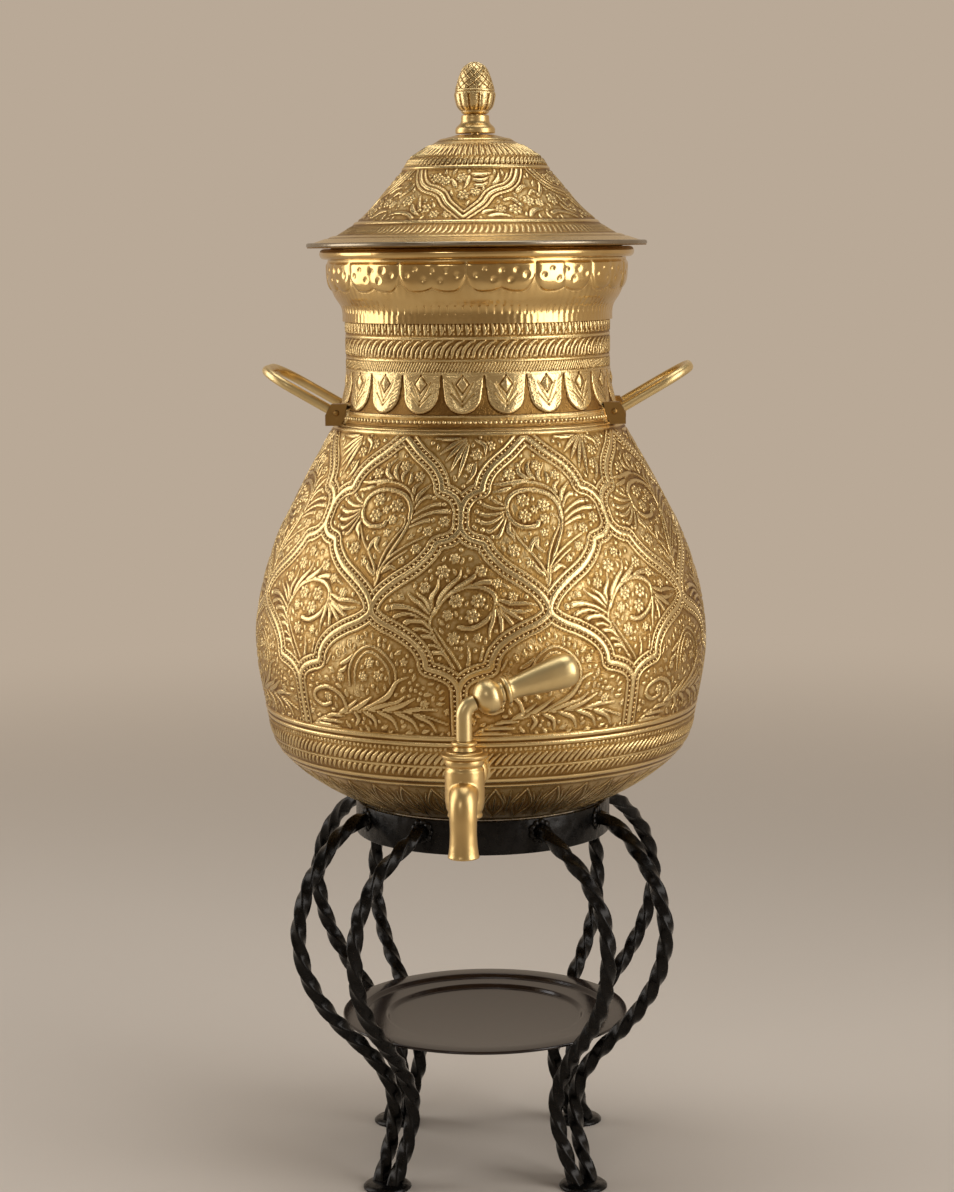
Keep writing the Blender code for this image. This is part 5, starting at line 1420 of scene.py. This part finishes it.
class DISPENSER_OT_tap(bpy.types.Operator):
    """Tap: cast barrel, shank and bent spout, with the turned key and lever above"""

    bl_idname = "dispenser.tap"
    bl_label = "Tap"

    def execute(self, context):
        metal = finish_of("cast")
        put("tap_casting", self.casting(), metal, "urn", "tap_body")
        disc = ((3.6, 17.0), (13.2, 17.0), (14.2, 17.5), (14.5, 18.3), (14.4, 19.1), (13.7, 19.7),
                (12.3, 19.9), (11.3, 20.3), (10.9, 20.9), (3.6, 20.95), (3.6, 17.0))
        put("turned_cap_disc", lathe("cap_disc", disc, 72, TAP), metal, "tap_key", "tap_cap_disc")
        ring = ((3.6, 21.35), (7.1, 21.35), (7.0, 22.2), (6.2, 23.1), (6.2, 23.7), (7.3, 24.3), (7.9, 25.0),
                (7.9, 25.9), (7.2, 26.7), (6.3, 27.05), (3.6, 27.1), (3.6, 21.35))
        put("turned_stem_ring", lathe("stem_ring_turned", ring, 64, TAP), metal, "tap_key", "stem_ring")
        # The lever's paler brass is a painted highlight along its top
        self.lever(finish_of("pale_and_highlit"))
        for node in ("tap_saddle", "tap_back_washer", "tap_backnut", "tap_plug", "plug_washer", "plug_nut",
                     "knob_stud", "knob_washer", "knob_nut"):
            repaint(node, metal)
        repaint("tap_inner_gasket", finish_of("rubber"))
        return {"FINISHED"}

    def casting(self):
        """Barrel with a moulding at each end, shank with its flange, and the bent spout with its mouth."""
        barrel = ((7.0, -20.4), (9.8, -20.4), (10.7, -19.5), (10.9, -18.4), (10.1, -17.3), (11.4, -14.5),
                  (12.1, -10), (12.2, 5), (12.0, 9.6), (10.9, 11.2), (10.9, 12.0), (12.1, 13.0), (12.2, 15.4),
                  (11.7, 16.6), (7.0, 16.7), (7.0, -20.4))
        face = 1000 * (AXIS.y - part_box("tap_saddle")[0].y) + 0.3
        shank = ((0, face), (12.0, face), (12.0, face + 1.8), (11.0, face + 3.2), (9.0, face + 5.2),
                 (8.5, face + 8), (8.5, face + 20), (9.2, face + 28), (9.2, face + 30), (0, face + 30))
        forms = [lathe("barrel_form", barrel, 64, TAP),
                 lathe("shank_form", shank, 48, (0, AXIS.y, TAP.z), Euler((math.pi / 2, 0, 0)))]
        line = curve(((4, -4.6), (9, -4.6), (13.4, -6.2), (16.2, -10.2), (17.2, -16), (17.2, -21),
                      (17.2, -24)), 6)
        rings = []
        for i, (reach, drop) in enumerate(line):
            ahead = line[min(i + 1, len(line) - 1)] - line[max(i - 1, 0)]
            ahead /= np.hypot(*ahead)
            radius = 8.9 - 0.7 * i / (len(line) - 1)
            rings.append([(radius * math.cos(t) * MM, TAP.y - (reach + radius * math.sin(t) * ahead[1]) * MM,
                           TAP.z + (drop - radius * math.sin(t) * ahead[0]) * MM)
                          for t in np.linspace(0, math.tau, 40, endpoint=False)])
        forms.append(skinned("elbow_form", rings))
        mouth = ((5.0, -22.0), (8.2, -22.0), (8.2, -27), (8.5, -33), (9.2, -39.0), (9.7, -40.4), (9.6, -41.3),
                 (6.9, -41.3), (5.8, -36), (5.2, -28), (5.0, -22.0))
        forms.append(lathe("mouth_form", mouth, 64, TAP + Vector((0, -0.0172, 0))))
        return cast_together("tap_casting", forms, 0.00055, 4)

    def lever(self, metal):
        """The bent stem, the ball with its cone and collar, and the pear grip."""
        turn = math.radians(20)
        outward = Vector((math.cos(turn), math.sin(turn), 0))
        up = Vector((0, 0, 1))
        foot = TAP + up * 0.0274
        line = [foot, foot + up * 0.005, foot + up * 0.010]
        for k in range(13):
            bend = math.radians(70) * k / 12
            rise = up * (0.0148 + 0.008 * math.sin(bend))
            line.append(foot + rise + outward * 0.008 * (1 - math.cos(bend)))
        along = (up * math.cos(math.radians(70)) + outward * math.sin(math.radians(70)))
        line.append(line[-1] + along * 0.0014)
        made = grown("bent_lever_stem", line_mesh("lever_line", line), rod_tree(),
                     {"Radius": 0.0049, "Sides": 36, "Metal": metal})
        put("bent_lever_stem", made, metal, "tap_key", "lever_stem")
        centre = line[-1] + along * 0.0097
        lying = Euler((0, math.radians(75), turn))
        ball = [(10.75 * math.cos(t), 9.4 * math.sin(t)) for t in np.linspace(-math.pi / 2, 0.30, 22)]
        ball[0] = (0, -9.4)
        ball += [(9.9, 3.6), (9.0, 4.4), (6.7, 6.5), (6.3, 7.2), (6.6, 7.7), (6.6, 8.9), (6.2, 9.4), (0, 9.4)]
        put("ball_and_collar", lathe("ball_turned", ball, 72, centre, lying), metal, "tap_key", "lever_ball")
        grip = dense(GRIP_SHARES, 10.7, 49.0, 9.7, 8)
        grip = [(0, 9.7)] + [tuple(p) for p in grip] + [(2.4, 58.6), (0, 58.7)]
        put("pear_grip", lathe("grip_turned", grip, 72, centre, lying, 60), metal, "tap_key", "lever_grip")


class DISPENSER_OT_stand(bpy.types.Operator):
    """Stand: forged ring with its welds, eight twisted bars, foot pads and the enamelled tray"""

    bl_idname = "dispenser.stand"
    bl_label = "Wrought-Iron Stand"

    def execute(self, context):
        sizes = context.scene.dispenser_sizes
        iron = finish_of("iron")
        low, high = RING_LOW.z * 1000, RING_HIGH.z * 1000
        ring = rounded(((84, low), (86.0, low), (86.0, high), (82.5, high), (82.5, low), (84, low)), 0.7)
        put("forged_ring", lathe("ring_forged", ring, 160, (AXIS.x, AXIS.y, 0)), iron, "stand", "stand_ring")
        welds = []
        for corner, degrees in FOOT_AZIMUTHS_DEGREES.items():
            azimuth = math.radians(degrees + STAND_TURN_DEGREES)
            for letter, side in (("a", 1), ("b", -1)):
                rings = self.bar(azimuth, side, sizes)
                name = corner + "_" + letter
                put("twisted_bar_" + name, skinned("bar_" + name, rings), iron, "stand", "leg_rod_" + name)
                top = sum((Vector(p) for p in rings[0]), Vector()) / len(rings[0])
                out = Vector((top.x - AXIS.x, top.y - AXIS.y, 0)).normalized()
                across = Vector((-out.y, out.x, 0))
                for k in range(9):
                    t = math.tau * k / 9
                    spot = top - out * 0.0001 + across * 0.0056 * math.cos(t)
                    spot = spot + Vector((0, 0, 0.0058 * math.sin(t)))
                    if spot.z < RING_HIGH.z - 0.001:
                        welds.append((spot, out))
            pad = ((0, 0), (15.4, 0), (16.0, 0.6), (16.0, 1.4), (15.3, 2.4), (14.2, 3.2), (13.2, 3.6),
                   (0, 3.6))
            place = Vector((AXIS.x + 0.0925 * math.cos(azimuth), AXIS.y + 0.0925 * math.sin(azimuth), 0))
            put("forged_pad_" + corner, lathe("pad_" + corner, pad, 64, place), iron, "stand",
                "foot_pad_" + corner)
        made = grown("weld_beads", point_mesh("weld_points", welds), bead_tree(),
                     {"Radius": 0.0033, "Flatness": 0.5, "Unevenness": 0.3, "Seed": 11, "Metal": iron})
        put("weld_beads", made, iron, "stand")
        tray = ((0, 98.2), (65.0, 98.2), (67.27, 100.7), (82.19, 100.7), (84.46, 103.2), (97.44, 103.2),
                (97.44, 101.2), (84.46, 101.2), (82.19, 98.7), (67.27, 98.7), (65.0, 96.2), (0, 96.2))
        put("spun_tray", lathe("tray_spun", rounded(tray, 0.9, 4), 192, (AXIS.x, AXIS.y, 0), sharp=60),
            finish_of("tray"), "stand", "lower_tray")
        return {"FINISHED"}

    def bar(self, azimuth, side, sizes):
        """Sections of one twisted bar, square with rounded corners, from the ring down to its pad."""
        points = []
        for shares, out, back, top, foot in (
                (LEG_UPPER_SHARES, LEG_REACHES[0], LEG_REACHES[1], LEG_HEIGHTS[0], LEG_HEIGHTS[1]),
                (LEG_LOWER_SHARES, LEG_REACHES[2], LEG_REACHES[1], LEG_HEIGHTS[1], LEG_HEIGHTS[2]),
                (LEG_FOOT_SHARES, LEG_REACHES[2], LEG_REACHES[3], LEG_HEIGHTS[2], LEG_HEIGHTS[3])):
            points += [(out + r * (back - out), foot + h * (top - foot)) for r, h in shares]
        line = curve(points, 8)
        angles = np.radians(LEG_SPREAD_DEGREES) * np.interp(
            line[:, 1] / LEG_HEIGHTS[0], SPREAD_HEIGHT_SHARES[::-1], SPREAD_ANGLE_SHARES[::-1])
        turned = azimuth + side * angles
        centres = np.stack((line[:, 0] * np.cos(turned), line[:, 0] * np.sin(turned), line[:, 1]), axis=-1)
        travel = np.concatenate(([0], np.cumsum(np.linalg.norm(np.diff(centres, axis=0), axis=1))))
        nearest = np.argmin(np.hypot(line[:, 0] - 0.09744, line[:, 1] - 0.1012))
        count = round(travel[-1] / sizes.twist_pitch * 30)
        square = []
        for k in range(4):
            for tip in (-0.32, -0.07, 0.07, 0.32):
                corner = math.tau * k / 4 + tip
                reach = 0.5 / max(abs(math.cos(corner - math.tau / 8)), abs(math.sin(corner - math.tau / 8)))
                square.append((corner, min(reach, 0.68)))
        rings = []
        chance = np.random.default_rng(int(1000 + 100 * azimuth + 10 * side))
        for step in range(count + 1):
            reach = travel[-1] * step / count
            centre = Vector([np.interp(reach, travel, centres[:, i]) for i in range(3)])
            ahead = Vector([np.interp(reach + 0.004, travel, centres[:, i]) for i in range(3)])
            back = Vector([np.interp(reach - 0.004, travel, centres[:, i]) for i in range(3)])
            along = (ahead - back).normalized()
            sideways = Vector((0, 0, 1)).cross(centre).normalized()
            inward = along.cross(sideways).normalized()
            sideways = inward.cross(along)
            turn = math.tau * (reach - travel[nearest]) / sizes.twist_pitch
            dent = 1 + 0.03 * (chance.random() - 0.5)
            ring = []
            for corner, share in square:
                out = sizes.bar_side * share * dent
                tip = math.cos(turn + corner) * inward + math.sin(turn + corner) * sideways
                ring.append(centre + out * tip)
            if step == 0:
                out = Vector((centre.x, centre.y, 0)).normalized()
                ring = [p + along * ((centre - p).dot(out) / along.dot(out)) for p in ring]
            if step == count:
                ring = [p + along * ((centre.z - p.z) / along.z) for p in ring]
            rings.append([p + Vector((AXIS.x, AXIS.y, 0)) for p in ring])
        return rings


class DISPENSER_OT_stage(bpy.types.Operator):
    """Stage: pale floor and backdrop, soft lamps and the camera"""

    bl_idname = "dispenser.stage"
    bl_label = "Stage"

    def execute(self, context):
        stage = context.scene.dispenser_stage
        self.ground(stage)
        self.lamps(context)
        self.camera(context, stage)
        context.scene.view_settings.view_transform = "Standard"
        return {"FINISHED"}

    def ground(self, stage):
        """A round floor that curves up into a backdrop on every side."""
        section = [(0.0, 0.0), (1.0, 0.0), (2.0, 0.0)]
        turns = np.linspace(0.0, math.pi / 2, 16)
        section += [(2.4 + 0.9 * math.sin(t), 0.9 - 0.9 * math.cos(t)) for t in turns]
        section.append((3.3, 3.4))
        bm = bmesh.new()
        column = [bm.verts.new((r, 0, z)) for r, z in section]
        edges = [bm.edges.new(pair) for pair in zip(column, column[1:])]
        bmesh.ops.spin(bm, geom=column + edges, cent=(0, 0, 0), axis=(0, 0, 1), angle=math.tau, steps=128)
        bmesh.ops.remove_doubles(bm, verts=bm.verts, dist=1e-5)
        bmesh.ops.recalc_face_normals(bm, faces=bm.faces)
        mesh = bpy.data.meshes.new("round_backdrop")
        bm.to_mesh(mesh)
        bm.free()
        mesh.shade_smooth()
        floor = bpy.data.objects.new("round_backdrop", mesh)
        bpy.context.scene.collection.objects.link(floor)
        material = bpy.data.materials.new("pale_matt_paper")
        material.use_nodes = True
        shader = material.node_tree.nodes["Principled BSDF"]
        shader.inputs["Base Color"].default_value = (*stage.floor, 1)
        shader.inputs["Roughness"].default_value = 0.9
        # Away from the object the paper shows one plain tone; near it, it keeps the shadow.
        tree = material.node_tree
        place = add_node(tree, "ShaderNodeTexCoord")
        flat = add_node(tree, "ShaderNodeVectorMath", {"operation": "MULTIPLY"}, {1: (1, 1, 0)},
                        {0: (place, "Object")})
        reach = add_node(tree, "ShaderNodeVectorMath", {"operation": "LENGTH"}, links={0: (flat, "Vector")})
        far = add_node(tree, "ShaderNodeMapRange", {"interpolation_type": "SMOOTHSTEP"},
                       {"From Min": 0.5, "From Max": 2.4}, {"Value": (reach, "Value")})
        parts = add_node(tree, "ShaderNodeSeparateXYZ", links={0: (place, "Object")})
        behind = add_node(tree, "ShaderNodeMapRange", {"interpolation_type": "SMOOTHSTEP"},
                          {"From Min": -2.2, "From Max": 0.6, "To Min": 0.25}, {"Value": (parts, "Y")})
        area = add_node(tree, "ShaderNodeMath", {"operation": "MULTIPLY"},
                        links={0: (far, "Result"), 1: (behind, "Result")})
        ray = add_node(tree, "ShaderNodeLightPath")
        seen = add_node(tree, "ShaderNodeMath", {"operation": "MAXIMUM"},
                        links={0: (ray, "Is Camera Ray"), 1: (ray, "Is Glossy Ray")})
        either = add_node(tree, "ShaderNodeMath", {"operation": "MAXIMUM"},
                          links={0: (seen, "Value"), 1: (ray, "Is Transmission Ray")})
        share = add_node(tree, "ShaderNodeMath", {"operation": "MULTIPLY"},
                         links={0: (either, "Value"), 1: (area, "Value")})
        tone = add_node(tree, "ShaderNodeEmission", values={"Color": (*stage.backdrop, 1)})
        blend = add_node(tree, "ShaderNodeMixShader",
                         links={0: (share, "Value"), 1: (shader, "BSDF"), 2: (tone, "Emission")})
        tree.links.new(blend.outputs["Shader"], tree.nodes["Material Output"].inputs["Surface"])
        mesh.materials.append(material)

    def lamps(self, context):
        """Two tall soft boxes at the sides, a top light and a weak fill."""
        for name, place, size, power in (
                ("left_box", (-1.5, 0.1, 0.85), (1.0, 1.6), 12.5),
                ("right_box", (1.35, -0.65, 0.8), (0.9, 1.5), 16),
                ("top_box", (0.1, 0.2, 2.1), (1.4, 1.0), 12),
                ("front_box", (-0.9, -2.3, 1.4), (0.5, 0.5), 3)):
            light = bpy.data.lights.new(name, "AREA")
            light.shape = "RECTANGLE"
            light.size, light.size_y = size
            light.energy = power
            lamp = bpy.data.objects.new(name, light)
            lamp.location = place
            lamp.visible_camera = False
            aim = Vector((0, AXIS.y, 0.38)) - Vector(place)
            lamp.rotation_euler = aim.to_track_quat("-Z", "Y").to_euler()
            context.scene.collection.objects.link(lamp)
        world = bpy.data.worlds.new("soft_room")
        world.use_nodes = True
        back = world.node_tree.nodes["Background"]
        back.inputs["Color"].default_value = (*linear("#C9BFB2"), 1)
        back.inputs["Strength"].default_value = 0.25
        context.scene.world = world

    def camera(self, context, stage):
        """A long lens a little above the belly, turned to the photograph's side."""
        side = math.radians(CAMERA_SIDE_DEGREES)
        lens = bpy.data.cameras.new("camera")
        lens.sensor_fit = "VERTICAL"
        lens.sensor_height = 36.0
        lens.lens = 77.0
        camera = bpy.data.objects.new("camera", lens)
        camera.location = (AXIS.x + stage.distance * math.sin(side), AXIS.y - stage.distance * math.cos(side),
                           stage.height)
        turn = Matrix.Identity(3)
        for degrees, axis in ((CAMERA_SIDE_DEGREES + 0.079, "Z"), (90 - 7.79, "X"), (-0.65, "Z")):
            turn = turn @ Matrix.Rotation(math.radians(degrees), 3, axis)
        camera.rotation_euler = turn.to_euler()
        context.scene.collection.objects.link(camera)
        context.scene.camera = camera


class DISPENSER_PT_panel(bpy.types.Panel):
    """Lists the dispenser's sizes, colours and pieces"""

    bl_label = "Dispenser"
    bl_idname = "DISPENSER_PT_panel"
    bl_space_type = "VIEW_3D"
    bl_region_type = "UI"
    bl_category = "Dispenser"

    def draw(self, context):
        for group in (context.scene.dispenser_sizes, context.scene.dispenser_finishes,
                      context.scene.dispenser_stage):
            box = self.layout.box()
            for name in group.__annotations__:
                box.prop(group, name)
        for step in OPERATORS:
            self.layout.operator(step.bl_idname)


OPERATORS = (DISPENSER_OT_bowl, DISPENSER_OT_neck, DISPENSER_OT_collar, DISPENSER_OT_lid, DISPENSER_OT_knob,
             DISPENSER_OT_handles, DISPENSER_OT_tap, DISPENSER_OT_stand, DISPENSER_OT_stage)
CLASSES = (DispenserSizes, DispenserFinishes, DispenserStage) + OPERATORS + (DISPENSER_PT_panel,)


def register():
    """Register the classes and their properties."""
    for made in CLASSES:
        bpy.utils.register_class(made)
    bpy.types.Scene.dispenser_sizes = PointerProperty(type=DispenserSizes)
    bpy.types.Scene.dispenser_finishes = PointerProperty(type=DispenserFinishes)
    bpy.types.Scene.dispenser_stage = PointerProperty(type=DispenserStage)


def unregister():
    """Take the properties and classes out again."""
    del bpy.types.Scene.dispenser_stage
    del bpy.types.Scene.dispenser_finishes
    del bpy.types.Scene.dispenser_sizes
    for made in reversed(CLASSES):
        bpy.utils.unregister_class(made)


def main():
    """Dress the whole dispenser."""
    register()
    bpy.ops.dispenser.bowl()
    bpy.ops.dispenser.neck()
    bpy.ops.dispenser.collar()
    bpy.ops.dispenser.lid()
    bpy.ops.dispenser.knob()
    bpy.ops.dispenser.handles()
    bpy.ops.dispenser.tap()
    bpy.ops.dispenser.stand()
    bpy.ops.dispenser.stage()


if __name__ == "__main__":
    main()
